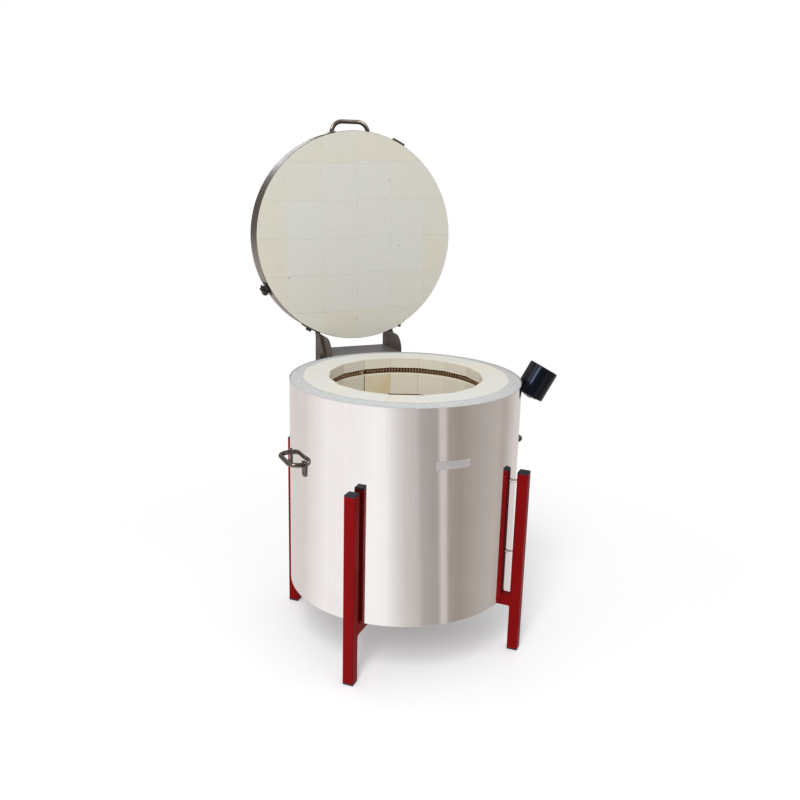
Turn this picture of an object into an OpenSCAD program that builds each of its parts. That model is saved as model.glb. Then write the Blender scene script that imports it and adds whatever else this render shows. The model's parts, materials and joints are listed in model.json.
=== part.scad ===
// Round top-loading electric kiln: a polished sheet casing round a brick firing chamber,
// carried on a four-legged tube stand, with a hinged brick lid standing open behind it.
// Origin: centre of the chamber floor. +Z up, -Y towards the front, +Y towards the hinge.
// All sizes are in millimetres.

/* [Firing chamber] */
// Width of the chamber across opposite wall faces
chamber_af = 400; // [340:5:440]
// Number of flat wall faces around the chamber
chamber_sides = 16; // [12:4:20]
// Thickness of the wall bricks
brick_t = 68; // [60:1:90]
// Height of one course of wall bricks
course_h = 232; // [200:1:260]
// Number of brick courses in the wall
courses = 2; // [2:1:3]
// Mortar joint between neighbouring bricks
joint = 0.6; // [0.4:0.1:1.5]
// Height of the brick wall above the edge of the casing
brick_proud = 4; // [0:0.5:10]

/* [Heating elements] */
// Grooves in one course of bricks
grooves = 3; // [1:1:4]
// Height of the grooves above the middle of their share of the course
groove_rise = 4; // [-8:1:8]
// Width of the groove's mouth
groove_w = 15; // [14:0.5:20]
// Depth of the groove's centre behind the wall face
groove_in = 10; // [8:0.5:14]
// Outer diameter of the heating coil
coil_d = 12; // [9:0.5:13]
// Diameter of the heating wire
wire_d = 2.8; // [2:0.1:3.2]
// Curls of the top heating coil
coil_curls = 90; // [40:1:94]
// Azimuth where the element ends leave the chamber, from the front towards +X
lead_az = 191.25; // [188:0.25:194]
// Angle between the two ends of one element
lead_split = 4; // [3.6:0.2:6]
// Diameter of the element leads
lead_d = 6; // [4:0.5:7]
// Diameter of the ceramic lead bushes
bush_d = 11; // [9.5:0.5:12]

/* [Insulation and casing] */
// Thickness of the fibre blanket between bricks and casing
fibre_t = 36; // [20:1:44]
// Thickness of the casing sheet
casing_t = 1; // [0.8:0.1:2]
// Thickness of the floor bricks
floor_t = 76; // [64:1:90]
// Thickness of the insulating board under the floor bricks
board_t = 27; // [20:1:40]
// Thickness of the base pan
pan_t = 1; // [0.8:0.1:2]
// Height of the base pan's upturned rim
pan_rim = 24; // [10:1:26]

/* [Lid] */
// Thickness of the lid bricks
lid_brick_t = 64; // [50:1:76]
// Thickness of the fibre sheet above the lid bricks
lid_fibre_t = 5; // [3:0.5:10]
// Thickness of the lid's band and cover sheet
lid_sheet_t = 1; // [0.8:0.1:2]
// How far the lid's band stays inside the casing's outer face
lid_inset = 6.3; // [3:0.1:12]
// Height by which the lid bricks stand out of the band
lid_face_proud = 3; // [1:0.5:8]
// Brick pitch on the lid face
lid_cell = 106; // [90:1:130]
// Sideways place of the lid's middle brick joint
lid_joint_x = 1; // [0:1:50]
// Forward place of the lid's first cross joint
lid_joint_y = -4; // [-20:1:50]
// Step between the courses on the two halves of the lid
lid_step = 8; // [0:1:30]
// Width and depth of the pointing between lid bricks
pointing = 0.8; // [0.6:0.1:2]
// Angle by which the lid stands open
lid_open = 92.35; // [90:0.05:95]
// Gap between the closed lid and the brick wall
lid_gap = 0.4; // [0.3:0.1:1]

/* [Hinge] */
// Distance of the hinge axis behind the casing
hinge_back = 41; // [38:0.5:50]
// Depth of the hinge axis below the casing's edge
hinge_drop = 14.7; // [12:0.1:18]
// Distance between the inner faces of the hinge cheeks
cheek_gap = 214; // [205:1:230]
// Thickness of the hinge cheeks
cheek_t = 4; // [3:0.5:6]
// Reach of the hinge cheeks behind the casing
cheek_reach = 123; // [110:1:140]
// Clearance between the cheeks and the open lid above them
cheek_clear = 2.6; // [1.5:0.1:8]
// Depth of the cheeks below the casing's edge
cheek_down = 60; // [54:1:80]
// Radius of the cheek's front upper corner
cheek_r = 42; // [36:1:48]
// Depth of the web plate between the cheeks
web_reach = 103; // [80:1:108]
// Thickness of the web plate
web_t = 3; // [2:0.5:5]
// Thickness of the lid's hinge arms
arm_t = 5; // [4:0.5:8]
// Width of the arm where it meets the lid
arm_w = 34; // [26:1:40]
// Height of the arm's root above the lid face
arm_up = 10; // [8:1:16]
// Radius of the arm's boss
boss_r = 18; // [14:0.5:20]
// Length of the arm's stop tail
tail_l = 46; // [40:1:50]
// Diameter of the hinge pins
pin_d = 12; // [8:0.5:14]
// Thickness of the hinge washers
washer_t = 2; // [1.5:0.1:3]
// Diameter of the open-stop studs
stop_d = 10; // [8:0.5:14]
// Thickness of the curved mounting pads
pad_t = 4; // [3:0.5:6]

/* [Stand] */
// Width of the stand's square tube
tube_w = 29; // [25:1:40]
// Outer corner radius of the stand's square tube
tube_r = 3; // [2:0.5:5]
// Wall of the stand's square tube
tube_t = 2; // [1.5:0.1:3]
// Gap between the legs and the casing
leg_gap = 14; // [6:0.5:24]
// Height of the kiln's underside above the floor
stand_h = 157; // [120:1:240]
// Height of the leg tops above the kiln's underside
leg_up = 352; // [280:1:420]
// Thickness of the legs' end caps
cap_t = 5; // [3:0.5:8]
// Thickness of the feet under the legs
foot_t = 6; // [4:0.5:12]
// Height of the lower leg studs above the kiln's underside
stud_low = 122; // [90:1:160]
// Depth of the upper leg studs below the leg tops
stud_drop = 30; // [24:1:60]
// Diameter of the leg studs
stud_d = 6; // [5:0.5:10]
// Wall of the sleeves round the leg studs
sleeve_t = 1.8; // [1:0.1:4]

/* [Handles] */
// Diameter of the handle bars
bar_d = 12.5; // [8:0.5:14]
// Inner bend radius of the handle bars
bar_bend = 20; // [8:1:26]
// Distance between the side handle's ends
side_span = 106; // [96:1:140]
// Reach of the side handles beyond the casing
side_reach = 37; // [34:1:60]
// Azimuth of the side handles from the front
side_az = 88; // [80:1:95]
// Height of the side handles above the kiln's underside
side_up = 374; // [370:1:440]
// Width of the handle lugs at the bar
lug_w = 20; // [16:1:28]
// Width of the handle lugs at their lower end
lug_tip = 14; // [12:1:20]
// Height of the handle lugs
lug_h = 38; // [32:1:60]
// Thickness of the handle lugs
lug_t = 4; // [3:0.5:6]
// Distance between the lid handle's ends
lid_span = 112; // [96:1:130]
// Reach of the lid handle beyond the lid's band
lid_reach = 33; // [28:1:50]
// Inner bend radius of the lid handle
lid_bend = 26; // [8:1:26]

/* [Control head] */
// Diameter of the control head
pod_d = 82; // [70:1:96]
// Length of the control head
pod_l = 85; // [70:1:100]
// Wall of the control head's cup
pod_wall = 3; // [2:0.5:5]
// Height of the control head's cap
pod_cap_h = 6; // [5:0.5:12]
// Tilt of the control head away from the casing
pod_tilt = 29.5; // [20:0.5:40]
// Azimuth of the control head from the front
pod_az = 80; // [70:1:90]
// Distance of the control head's foot from the casing
pod_off = 43; // [41:1:60]
// Depth of the control head's foot below the casing's edge
pod_drop = 61; // [50:1:80]
// Thickness of the control head's bracket
pod_strap = 3; // [2:0.5:5]
// Width of the control head's bracket
pod_strap_w = 44; // [30:1:60]

/* [Connections] */
// Width of the terminal box
box_w = 56; // [50:1:62]
// Depth of the terminal box behind the casing
box_depth = 56; // [48:1:60]
// Wall of the terminal box
box_t = 1.2; // [1:0.1:2]
// Height of the terminal box's foot above the chamber floor
box_foot = 14; // [4:1:24]
// Length of the brass element clamps
clamp_l = 14; // [10:1:18]
// Outer diameter of the mains cable gland
gland_d = 22; // [18:1:26]
// Bore of the mains cable gland
gland_bore = 12; // [8:0.5:14]
// Diameter of the thermocouple sheath
probe_d = 8; // [6:0.5:12]
// Reach of the thermocouple into the chamber
probe_in = 28; // [15:1:45]
// Diameter of the thermocouple's connection head
probe_head_d = 32; // [26:1:40]

/* [Fits] */
// Running clearance between a turning arm and its pin, on the radius
run = 0.06; // [0.03:0.01:0.1]
// Clearance round fixed rods and bolts, on the radius
hole_gap = 0.2; // [0.1:0.05:0.5]
// Clearance between parts that move past each other
pass_gap = 0.3; // [0.2:0.05:0.8]
// Gap of a flat foot on a curved sheet
seat = 0.05; // [0.02:0.01:0.2]

/* [Hidden] */
$fn = 64;

// Radii of the chamber wall, the casing and the lid
chamber_a = chamber_af / 2;
wall_a = chamber_a + brick_t;
side_angle = 360 / chamber_sides;
fibre_r = wall_a + fibre_t;
casing_r = fibre_r + casing_t;
lid_r = casing_r - lid_inset;
lid_brick_r = lid_r - lid_sheet_t - 2 * seat;

// Heights of the wall, the casing's edge, the underside and the floor
wall_top = courses * course_h;
rim_z = wall_top - brick_proud;
under_z = -floor_t - board_t - pan_t;
ground_z = under_z - stand_h;
lid_z = wall_top + lid_gap;
lid_t = lid_brick_t + lid_fibre_t + lid_sheet_t;

// Heating coil: it lies low in its groove
groove_r = groove_w / 2;
coil_r = coil_d / 2;
coil_ring_r = chamber_a + groove_in;
coil_drop = groove_r - coil_r - pass_gap;
coil_mean = coil_r - wire_d / 2;
groove_pitch = course_h / grooves;
groove_z = [for (c = [0:courses - 1], g = [0:grooves - 1])
  c * course_h + (g + 0.5) * groove_pitch + groove_rise];
top_row = len(groove_z) - 1;
tail_run = 2 * wire_d;
lead_start = coil_ring_r + tail_run;
lead_hole = lead_d + 2;
lead_clear = 18;
lead_end = casing_r + box_depth - lead_clear;
bush_start = wall_a / cos(side_angle / 2) + 2;
bush_out = 11;

// Hinge axis, and the planes of the parts along it
hinge_az = 180;
pivot_y = casing_r + hinge_back;
pivot_z = rim_z - hinge_drop;
cheek_x = cheek_gap / 2;
arm_x = cheek_x + cheek_t + washer_t + pass_gap;
arm_out = arm_x + arm_t;
clip_x = arm_out + pass_gap + washer_t;
lid_edge = pivot_y - sqrt(pow(lid_r, 2) - pow(cheek_x, 2));
cheek_front = sqrt(pow(casing_r, 2) - pow(cheek_x, 2)) + cheek_clear;
cheek_rear = casing_r + cheek_reach;
cheek_top = pivot_z + lid_edge * sin(lid_open) + (lid_z + lid_t - pivot_z) * cos(lid_open) - cheek_clear;
cheek_foot = rim_z - cheek_down;
pad_r = casing_r + seat + pad_t;
pad_top = rim_z - 8;
pad_h = 50;
pad_from = asin(cheek_x / casing_r) - 2;
pad_to = asin((cheek_x + cheek_t) / casing_r) + 7;
arm_pad_t = 3;
arm_pad_r = lid_r + seat + arm_pad_t;
arm_pad_from = asin(arm_x / arm_pad_r);
arm_pad_to = arm_pad_from + 10;
arm_slope = 40;
tail_half = pin_d / 2 + 4;
stop_drop = tail_half + pass_gap + stop_d / 2;
clip_t = 1.2;
head_t = 4;
bolt_d = 6;
nut_r = 6;
nut_h = 7;

// Legs stand on the diagonals of the stand
leg_in = casing_r + leg_gap;
leg_mid = leg_in + tube_w / 2;
leg_top = under_z + leg_up;
leg_azimuths = [-45, 45, -135, 135];
plug_w = tube_w - 2 * tube_t - 2 * hole_gap;
plug_h = 14;

// Side handles, control head and terminal box
side_z = under_z + side_up;
lug_r = casing_r + seat + lug_t;
lug_half = asin(side_span / 2 / casing_r);
lug_rise = bar_d / 2 + 2;
lug_foot = lug_rise - lug_h;
button_r = 5;
button_h = 2.6;
button_round = (pow(button_r, 2) + pow(button_h, 2)) / (2 * button_h);
side_foot = casing_r * cos(lug_half) - 4;
lid_foot = lid_r * cos(asin(lid_span / 2 / lid_r)) - 4;
lid_mid = lid_z + lid_t / 2;
grip_z = lid_z + lid_t - bar_d - 1;
lid_foot_gap = pow(bar_d, 2) / (2 * lid_r);
pod_r = pod_d / 2;
pod_foot_r = casing_r + pod_off;
pod_foot_z = rim_z - pod_drop;
pod_pad_h = 46;
pod_edge = 2;
pod_spigot_r = pod_r - pod_wall - hole_gap;
box_top = min(pad_top, rim_z - web_t) - 6;
box_r = casing_r + box_depth;
box_flange = 14;
box_lip = 8;
louvres = 8;
louvre_w = 34;
louvre_h = 4;
gland_r = casing_r + box_depth / 2;
gland_neck = gland_bore + 5;
gland_hex = 9;
gland_dome = 10;
probe_stem = 20;
probe_out = casing_r + probe_stem;
probe_head_r = probe_head_d / 2;
probe_flange_r = probe_head_r + 4;
probe_flange_t = 2;
probe_neck = 10;
probe_head_l = 33;
probe_edge = 2;
function louvre_z(i) = box_foot + (box_top - box_foot) * (i + 3) / (louvres + 5);
probe_z = (groove_z[floor(top_row / 2)] + groove_z[ceil(top_row / 2)]) / 2;

// Band tensioner and catch plate on the lid
clamp_az = -119;
ear_gap = 16;
ear_t = 4;
ear_h = 22;
ear_l = 12;
ear_out = 20;
ear_bolt = 12;
catch_az = 26.5;
catch_w = 36;
catch_h = 24;
catch_t = 7;
catch_z = lid_z + lid_face_proud + catch_h / 2;

// Colours as the eye sees them
steel_polished = "#d9d5d2";
steel_grey = "#8a8a8c";
steel_brown = "#75655a";
paint_red = "#8e1414";
plastic_black = "#16181c";
brick_cream = "#e4dcc6";
fibre_white = "#dfe4e4";
wire_brown = "#5a4030";
porcelain = "#e9e4d8";
brass_yellow = "#b8954a";

// Places children, built facing the front, at an azimuth on a radius and height
module on_shell(az, r, z) rotate([0, 0, az]) translate([0, -r, z]) children();

// Rod pointing away from the kiln's axis
module radial_rod(d, len) rotate([90, 0, 0]) cylinder(d = d, h = len);

// Upright plate of a profile given as [outward, up], spread sideways about the middle
module shell_profile(points, w)
  rotate([90, 0, -90]) linear_extrude(w, center = true) polygon(points);

// Ring with square edges
module ring(r_out, r_in, h) rotate_extrude() translate([r_in, 0]) square([r_out - r_in, h]);

// Curved plate between two radii and two azimuths
module shell_plate(r_in, r_out, az_from, az_to, z, h)
  translate([0, 0, z]) rotate([0, 0, az_from - 90]) rotate_extrude(angle = az_to - az_from)
    translate([r_in, 0]) square([r_out - r_in, h]);

// Upright prism with the plan of the chamber
module chamber_prism(apothem, h)
  linear_extrude(h) polygon([for (i = [0:chamber_sides - 1])
    let (a = (i + 0.5) * side_angle, r = apothem / cos(side_angle / 2)) [r * sin(a), -r * cos(a)]]);

// Closed lid lifted about the hinge axis to its open rest
module lid_pose()
  translate([0, pivot_y, pivot_z]) rotate([-lid_open, 0, 0]) translate([0, -pivot_y, -pivot_z]) children();

// Round bar bent into a bow: ends on the plane y = 0, bow towards -Y
module bow_bar(span, reach, d, bend) {
  mid = bend + d / 2;
  arm = reach - d / 2 - mid;
  for (side = [-1, 1]) {
    translate([side * span / 2, 0, 0]) radial_rod(d, arm);
    translate([side * (span / 2 - mid), -arm, 0])
      rotate([0, 0, side > 0 ? -90 : 180]) rotate_extrude(angle = 90) translate([mid, 0]) circle(d = d);
  }
  translate([-span / 2 + mid, -arm - mid, 0]) rotate([0, 90, 0]) cylinder(d = d, h = span - 2 * mid);
}

// Hexagon nut facing outward, with a domed cap over its stud
module cap_nut(r, h) {
  flats = h * 0.6;
  dome_r = r * 0.8;
  rotate([90, 0, 0]) cylinder(r = r, h = flats, $fn = 6);
  translate([0, -flats, 0]) rotate([90, 0, 0]) rotate_extrude() intersection() {
    circle(r = dome_r);
    square([dome_r, h - flats]);
  }
}

// Stud welded to a curved sheet, with a cap nut over what it carries
module stud_and_nut(r, carried) {
  translate([0, -seat, 0]) radial_rod(bolt_d, carried + nut_h / 2);
  translate([0, -seat - carried, 0]) cap_nut(r, nut_h);
}

// Hole for such a stud
module stud_hole(len) translate([0, 1, 0]) radial_rod(bolt_d + 2 * hole_gap, len + 2);

// Angles along the lead holes of an element: start and end
function lead_azimuth(end) = lead_az + (end == 0 ? lead_split / 2 : -lead_split / 2);
function lead_from(row) = row == top_row ? lead_start : coil_ring_r + coil_r + pass_gap;
function lead_z(row, end) =
  groove_z[row] - coil_drop + (row == top_row ? (end == 0 ? coil_mean : -coil_mean) : 0);

// Holes for every element lead, from one radius to another
module lead_holes(d, r_from, r_to)
  for (row = [0:top_row], end = [0, 1])
    on_shell(lead_azimuth(end), r_from, lead_z(row, end)) radial_rod(d, r_to - r_from);

// Groove profile turned round the chamber at one height
module groove(z)
  translate([0, 0, z]) rotate_extrude() union() {
    translate([coil_ring_r, 0]) circle(r = groove_r);
    translate([coil_ring_r - groove_in - 2, -groove_r]) square([groove_in + 2, groove_w]);
  }

// Hole for the thermocouple through the wall at the back
module probe_hole(d, r_from, r_to) on_shell(hinge_az, r_from, probe_z) radial_rod(d, r_to - r_from);

module casing() color(steel_polished) difference() {
  translate([0, 0, under_z]) ring(casing_r, fibre_r, rim_z - under_z);
  lead_holes(bush_d + 2 * hole_gap, fibre_r - 5, casing_r + 5);
  probe_hole(probe_d + 2 * hole_gap, fibre_r - 5, casing_r + 5);
}

module base_pan() color(steel_grey) translate([0, 0, under_z]) union() {
  cylinder(r = fibre_r - seat, h = pan_t);
  ring(fibre_r - seat, fibre_r - seat - pan_t, pan_rim);
}

module base_board() color(fibre_white)
  translate([0, 0, under_z + pan_t]) cylinder(r = fibre_r - 2 * seat - pan_t, h = board_t);

module floor_bricks() color(brick_cream) difference() {
  translate([0, 0, -floor_t]) chamber_prism(wall_a, floor_t);
  for (i = [-1:1])
    translate([(i + 0.5) * lid_cell - pointing / 2, -chamber_a, -pointing])
      cube([pointing, chamber_af, 2 * pointing]);
  for (i = [-1:0])
    translate([-chamber_a, (i + 0.5) * 2 * lid_cell - pointing / 2, -pointing])
      cube([chamber_af, pointing, 2 * pointing]);
}

// One brick of the wall, facing the front
module stave(z, h) {
  half = tan(side_angle / 2);
  slack = joint / 2 / cos(side_angle / 2);
  inner = chamber_a * half - slack;
  outer = wall_a * half - slack;
  translate([0, 0, z]) linear_extrude(h)
    polygon([[-inner, -chamber_a], [inner, -chamber_a], [outer, -wall_a], [-outer, -wall_a]]);
}

// Ring of grooved bricks
module wall_course(c) difference() {
  for (i = [0:chamber_sides - 1])
    rotate([0, 0, i * side_angle]) stave(c * course_h, course_h - (c < courses - 1 ? joint : 0));
  for (g = [0:grooves - 1])
    groove(groove_z[c * grooves + g]);
  lead_holes(lead_hole, coil_ring_r, fibre_r);
  probe_hole(probe_d + 2 * hole_gap, chamber_a - 5, fibre_r);
}

module wall_bricks_lower() color(brick_cream) for (c = [0:courses - 1]) if (c < courses / 2) wall_course(c);

module wall_bricks_upper() color(brick_cream) for (c = [0:courses - 1]) if (c >= courses / 2) wall_course(c);

module fibre_jacket() color(fibre_white) difference() {
  translate([0, 0, -floor_t]) cylinder(r = fibre_r - seat, h = rim_z + floor_t);
  translate([0, 0, -floor_t - 1]) chamber_prism(wall_a + seat, rim_z + floor_t + 2);
  lead_holes(bush_d + 2 * hole_gap, wall_a, fibre_r + 5);
  probe_hole(probe_d + 2 * hole_gap, wall_a - 5, fibre_r + 5);
}

// Heating wire of the top row: a coil wound round the groove, its ends running out to the leads
rings_per_curl = 8;
wire_sides = 6;
wire_steps = coil_curls * rings_per_curl + rings_per_curl / 2;
coil_z = groove_z[top_row] - coil_drop;
coil_sweep = 360 - lead_split;
function wire_turn(i) = 90 + 360 * i / rings_per_curl;
function wire_around(i) = lead_az + lead_split / 2 + coil_sweep * i / wire_steps;
function outward(a) = [sin(a), -cos(a), 0];
function wire_side(i) = cos(wire_turn(i)) * outward(wire_around(i)) + [0, 0, sin(wire_turn(i))];
function wire_point(i) =
  coil_ring_r * outward(wire_around(i)) + [0, 0, coil_z] + coil_mean * wire_side(i);
first_end = outward(wire_around(0));
last_end = outward(wire_around(wire_steps));
wire_path = concat(
  [wire_point(0) + tail_run * first_end, wire_point(0) + (tail_run - wire_d) * first_end],
  [for (i = [1:wire_steps - 1]) wire_point(i)],
  [wire_point(wire_steps) + (tail_run - wire_d) * last_end, wire_point(wire_steps) + tail_run * last_end]);
wire_up = concat(
  [[0, 0, 1], [0, 0, 1]],
  [for (i = [1:wire_steps - 1]) wire_side(i)],
  [[0, 0, -1], [0, 0, -1]]);
function unit(v) = v / norm(v);
function heading(p, i) = unit(p[min(i + 1, len(p) - 1)] - p[max(i - 1, 0)]);
function square_to(v, t) = unit(v - (v * t) * t);

// Unbroken tube along a path, its rings set square to the path
module wire_tube(path, ups, d, sides) {
  n = len(path);
  points = [for (i = [0:n - 1])
    let (t = i == 0 ? unit(path[1] - path[0]) : i == n - 1 ? unit(path[i] - path[i - 1]) : heading(path, i),
      u = square_to(ups[i], t), v = cross(t, u))
    for (k = [0:sides - 1]) path[i] + d / 2 * (cos(360 * k / sides) * u + sin(360 * k / sides) * v)];
  walls = [for (i = [0:n - 2], k = [0:sides - 1])
    let (a = i * sides + k, b = i * sides + (k + 1) % sides, c = a + sides, e = b + sides)
    each [[a, c, e], [a, e, b]]];
  end = (n - 1) * sides;
  first_cap = [for (k = [1:sides - 2]) [0, k, k + 1]];
  last_cap = [for (k = [1:sides - 2]) [end, end + k + 1, end + k]];
  polyhedron(points, concat(walls, first_cap, last_cap), convexity = 10);
}

// Least gap of the wire to itself, from points more than half a curl apart
wire_gap = min([for (i = [0:len(wire_path) - 1],
  j = [i + rings_per_curl / 2 + 1:min(i + 3 * rings_per_curl, len(wire_path) - 1)])
  norm(wire_path[i] - wire_path[j])]) - wire_d;
echo(wire_gap = wire_gap);

module heating_coil_top() color(wire_brown) wire_tube(wire_path, wire_up, wire_d, wire_sides);

module heating_coils_lower() color(wire_brown)
  for (row = [0:top_row - 1])
    translate([0, 0, groove_z[row] - coil_drop])
      rotate([0, 0, lead_az + lead_split / 2 - 90]) rotate_extrude(angle = coil_sweep)
        translate([coil_ring_r, 0]) circle(d = coil_d);

module element_leads() color(wire_brown)
  for (row = [0:top_row], end = [0, 1])
    on_shell(lead_azimuth(end), lead_from(row), lead_z(row, end))
      radial_rod(lead_d, lead_end - lead_from(row));

module lead_bushes() color(porcelain) difference() {
  for (row = [0:top_row], end = [0, 1])
    on_shell(lead_azimuth(end), bush_start, lead_z(row, end))
      radial_rod(bush_d, casing_r + bush_out - bush_start);
  lead_holes(lead_d + 2 * hole_gap, bush_start - 5, casing_r + bush_out + 5);
}

module element_clamps() color(brass_yellow) difference() {
  for (row = [0:top_row], end = [0, 1])
    on_shell(lead_azimuth(end), lead_end - clamp_l, lead_z(row, end)) radial_rod(bush_d, clamp_l + 2);
  lead_holes(lead_d + 2 * seat, lead_end - clamp_l - 5, lead_end);
}

// Sheet box over the element ends: walls, return flanges for the cover and feet on the casing
module terminal_box() color(steel_grey) rotate([0, 0, lead_az]) difference() {
  union() {
    translate([-box_w / 2, -box_r, box_foot]) difference() {
      cube([box_w, box_depth + casing_r, box_top - box_foot]);
      translate([box_t, -1, box_t])
        cube([box_w - 2 * box_t, box_depth + casing_r + 2, box_top - box_foot - 2 * box_t]);
    }
    for (z = [box_foot, box_top - box_flange])
      translate([-box_w / 2, -box_r, z]) cube([box_w, box_t, box_flange]);
    for (side = [0, 1]) mirror([side, 0, 0])
      shell_plate(casing_r + seat, casing_r + seat + box_t, asin((box_w / 2 - box_t) / casing_r),
        asin((box_w / 2 + box_lip) / casing_r), box_foot, pad_top - pad_h - box_lip - box_foot);
  }
  translate([0, 0, box_foot - 1]) cylinder(r = casing_r + seat, h = box_top - box_foot + 2);
  box_screw_places() stud_hole(box_t);
  translate([0, -gland_r, box_foot - 1]) cylinder(d = gland_neck + 2 * hole_gap, h = box_t + 2);
}

// Corners of the terminal box where its cover is screwed on
module box_screw_places()
  for (x = [-1, 1], z = [box_foot + box_flange / 2, box_top - box_flange / 2])
    translate([x * (box_w / 2 - box_flange / 2), -box_r + box_t, z]) children();

module terminal_box_cover() color(steel_grey) rotate([0, 0, lead_az]) difference() {
  translate([-box_w / 2, -box_r - box_t, box_foot]) cube([box_w, box_t, box_top - box_foot]);
  box_screw_places() stud_hole(2 * box_t);
  for (i = [0:louvres - 1])
    translate([-louvre_w / 2, -box_r - box_t - 1, louvre_z(i)]) cube([louvre_w, box_t + 2, louvre_h]);
}

module terminal_box_screws() color(steel_grey) rotate([0, 0, lead_az]) box_screw_places() {
  radial_rod(bolt_d, 2 * box_t + 1);
  translate([0, -2 * box_t, 0]) rotate([90, 0, 0]) cylinder(d = 2 * bolt_d, h = bolt_d / 2);
}

// Gland for the mains cable in the box's underside: neck and lock nut inside, hexagon and dome outside
module cable_gland() color(plastic_black) rotate([0, 0, lead_az]) translate([0, -gland_r, box_foot])
  difference() {
    union() {
      translate([0, 0, -gland_hex]) cylinder(d = gland_d, h = gland_hex, $fn = 6);
      translate([0, 0, -gland_hex - gland_dome])
        cylinder(d1 = gland_neck, d2 = gland_d * 0.86, h = gland_dome);
      cylinder(d = gland_neck, h = box_t + gland_hex);
      translate([0, 0, box_t]) cylinder(d = gland_d, h = gland_hex / 2, $fn = 6);
    }
    translate([0, 0, -gland_hex - gland_dome - 1])
      cylinder(d = gland_bore, h = 2 * gland_hex + gland_dome + box_t + 2);
  }

module thermocouple_sheath() color(porcelain)
  on_shell(hinge_az, chamber_a - probe_in, probe_z) radial_rod(probe_d, probe_out - chamber_a + probe_in);

// Round connection head on a flanged neck
module thermocouple_head() color(steel_grey) on_shell(hinge_az, casing_r + seat, probe_z) rotate([90, 0, 0])
  difference() {
    rotate_extrude() polygon([
      [0, 0], [probe_flange_r, 0], [probe_flange_r, probe_flange_t], [probe_d, probe_flange_t],
      [probe_d, probe_neck], [probe_head_r - probe_edge, probe_neck], [probe_head_r, probe_neck + probe_edge],
      [probe_head_r, probe_head_l - probe_edge], [probe_head_r - probe_edge, probe_head_l],
      [0, probe_head_l]]);
    translate([0, 0, -1]) cylinder(d = probe_d + 2 * hole_gap, h = probe_out - casing_r + 2);
  }

// Outline of the stand's square tube, with rounded corners
module tube_outline() {
  flat = tube_w - 2 * tube_r;
  square([tube_w, flat], center = true);
  square([flat, tube_w], center = true);
  for (x = [-1, 1], y = [-1, 1]) translate([x, y] * flat / 2) circle(r = tube_r);
}

// Square tube along Z, centred, with a hollow end to end
module square_tube(len) difference() {
  linear_extrude(len) tube_outline();
  translate([tube_t - tube_w / 2, tube_t - tube_w / 2, -1])
    cube([tube_w - 2 * tube_t, tube_w - 2 * tube_t, len + 2]);
}

// Heights of the studs that hold a leg to the casing
leg_stud_z = [under_z + stud_low, leg_top - stud_drop];

module leg(az) color(paint_red) difference() {
  on_shell(az, leg_mid, ground_z + foot_t) square_tube(leg_top - cap_t - ground_z - foot_t);
  for (z = leg_stud_z)
    on_shell(az, leg_in - 1, z) radial_rod(stud_d + 2 * hole_gap, tube_t + 2);
}

module leg_front_left() leg(leg_azimuths[0]);

module leg_front_right() leg(leg_azimuths[1]);

module leg_rear_left() leg(leg_azimuths[2]);

module leg_rear_right() leg(leg_azimuths[3]);

// Radial tube of the stand's cross, between two distances from the middle
module beam(az, from, to) color(paint_red)
  on_shell(az, from, under_z - tube_w / 2) rotate([90, 0, 0]) square_tube(to - from);

module stand_beam() beam(leg_azimuths[1], -leg_in, leg_in);

module stand_beam_left() beam(leg_azimuths[0], tube_w / 2, leg_in);

module stand_beam_right() beam(leg_azimuths[3], tube_w / 2, leg_in);

// Moulded end of a leg: a plug in the tube and a plate with bevelled edges over its end
module tube_end(t) {
  translate([-plug_w / 2, -plug_w / 2, -plug_h]) cube([plug_w, plug_w, plug_h]);
  intersection() {
    linear_extrude(t) tube_outline();
    shell_profile(end_bevel(t), tube_w);
    rotate([0, 0, 90]) shell_profile(end_bevel(t), tube_w);
  }
}

function end_bevel(t) = let (h = tube_w / 2, b = min(2, t / 2))
  [[-h, 0], [h, 0], [h, t - b], [h - b, t], [b - h, t], [-h, t - b]];

module leg_caps() color(plastic_black)
  for (az = leg_azimuths) on_shell(az, leg_mid, leg_top - cap_t) tube_end(cap_t);

module leg_feet() color(plastic_black)
  for (az = leg_azimuths) on_shell(az, leg_mid, ground_z + foot_t) mirror([0, 0, 1]) tube_end(foot_t);

module leg_spacers() color(steel_grey)
  for (az = leg_azimuths, z = leg_stud_z) on_shell(az, casing_r + 2 * seat, z) difference() {
    radial_rod(stud_d + 2 * hole_gap + 2 * sleeve_t, leg_gap - 2 * seat);
    translate([0, 1, 0]) radial_rod(stud_d + 2 * hole_gap, leg_gap + 2);
  }

// Stud welded to the casing, with a nut inside the leg
module leg_studs() color(steel_grey)
  for (az = leg_azimuths, z = leg_stud_z) on_shell(az, casing_r + seat, z) {
    radial_rod(stud_d, leg_gap + tube_t + stud_d);
    translate([0, seat - leg_gap - tube_t, 0]) rotate([90, 0, 0])
      cylinder(r = stud_d, h = 0.8 * stud_d, $fn = 6);
  }

// Bow of a side handle, its ends trimmed to the lugs
module side_handle(az) color(steel_polished) difference() {
  on_shell(az, side_foot, side_z) bow_bar(side_span, casing_r + side_reach - side_foot, bar_d, bar_bend);
  translate([0, 0, side_z - bar_d]) cylinder(r = lug_r + 2 * seat, h = 2 * bar_d);
}

module handle_left() side_handle(-side_az);

module handle_right() side_handle(side_az);

// Places of the four lugs of the side handles, at the height of the bows
module lug_places()
  for (side = [-1, 1], end = [-1, 1]) on_shell(side * side_az + end * lug_half, casing_r, side_z) children();

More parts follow.
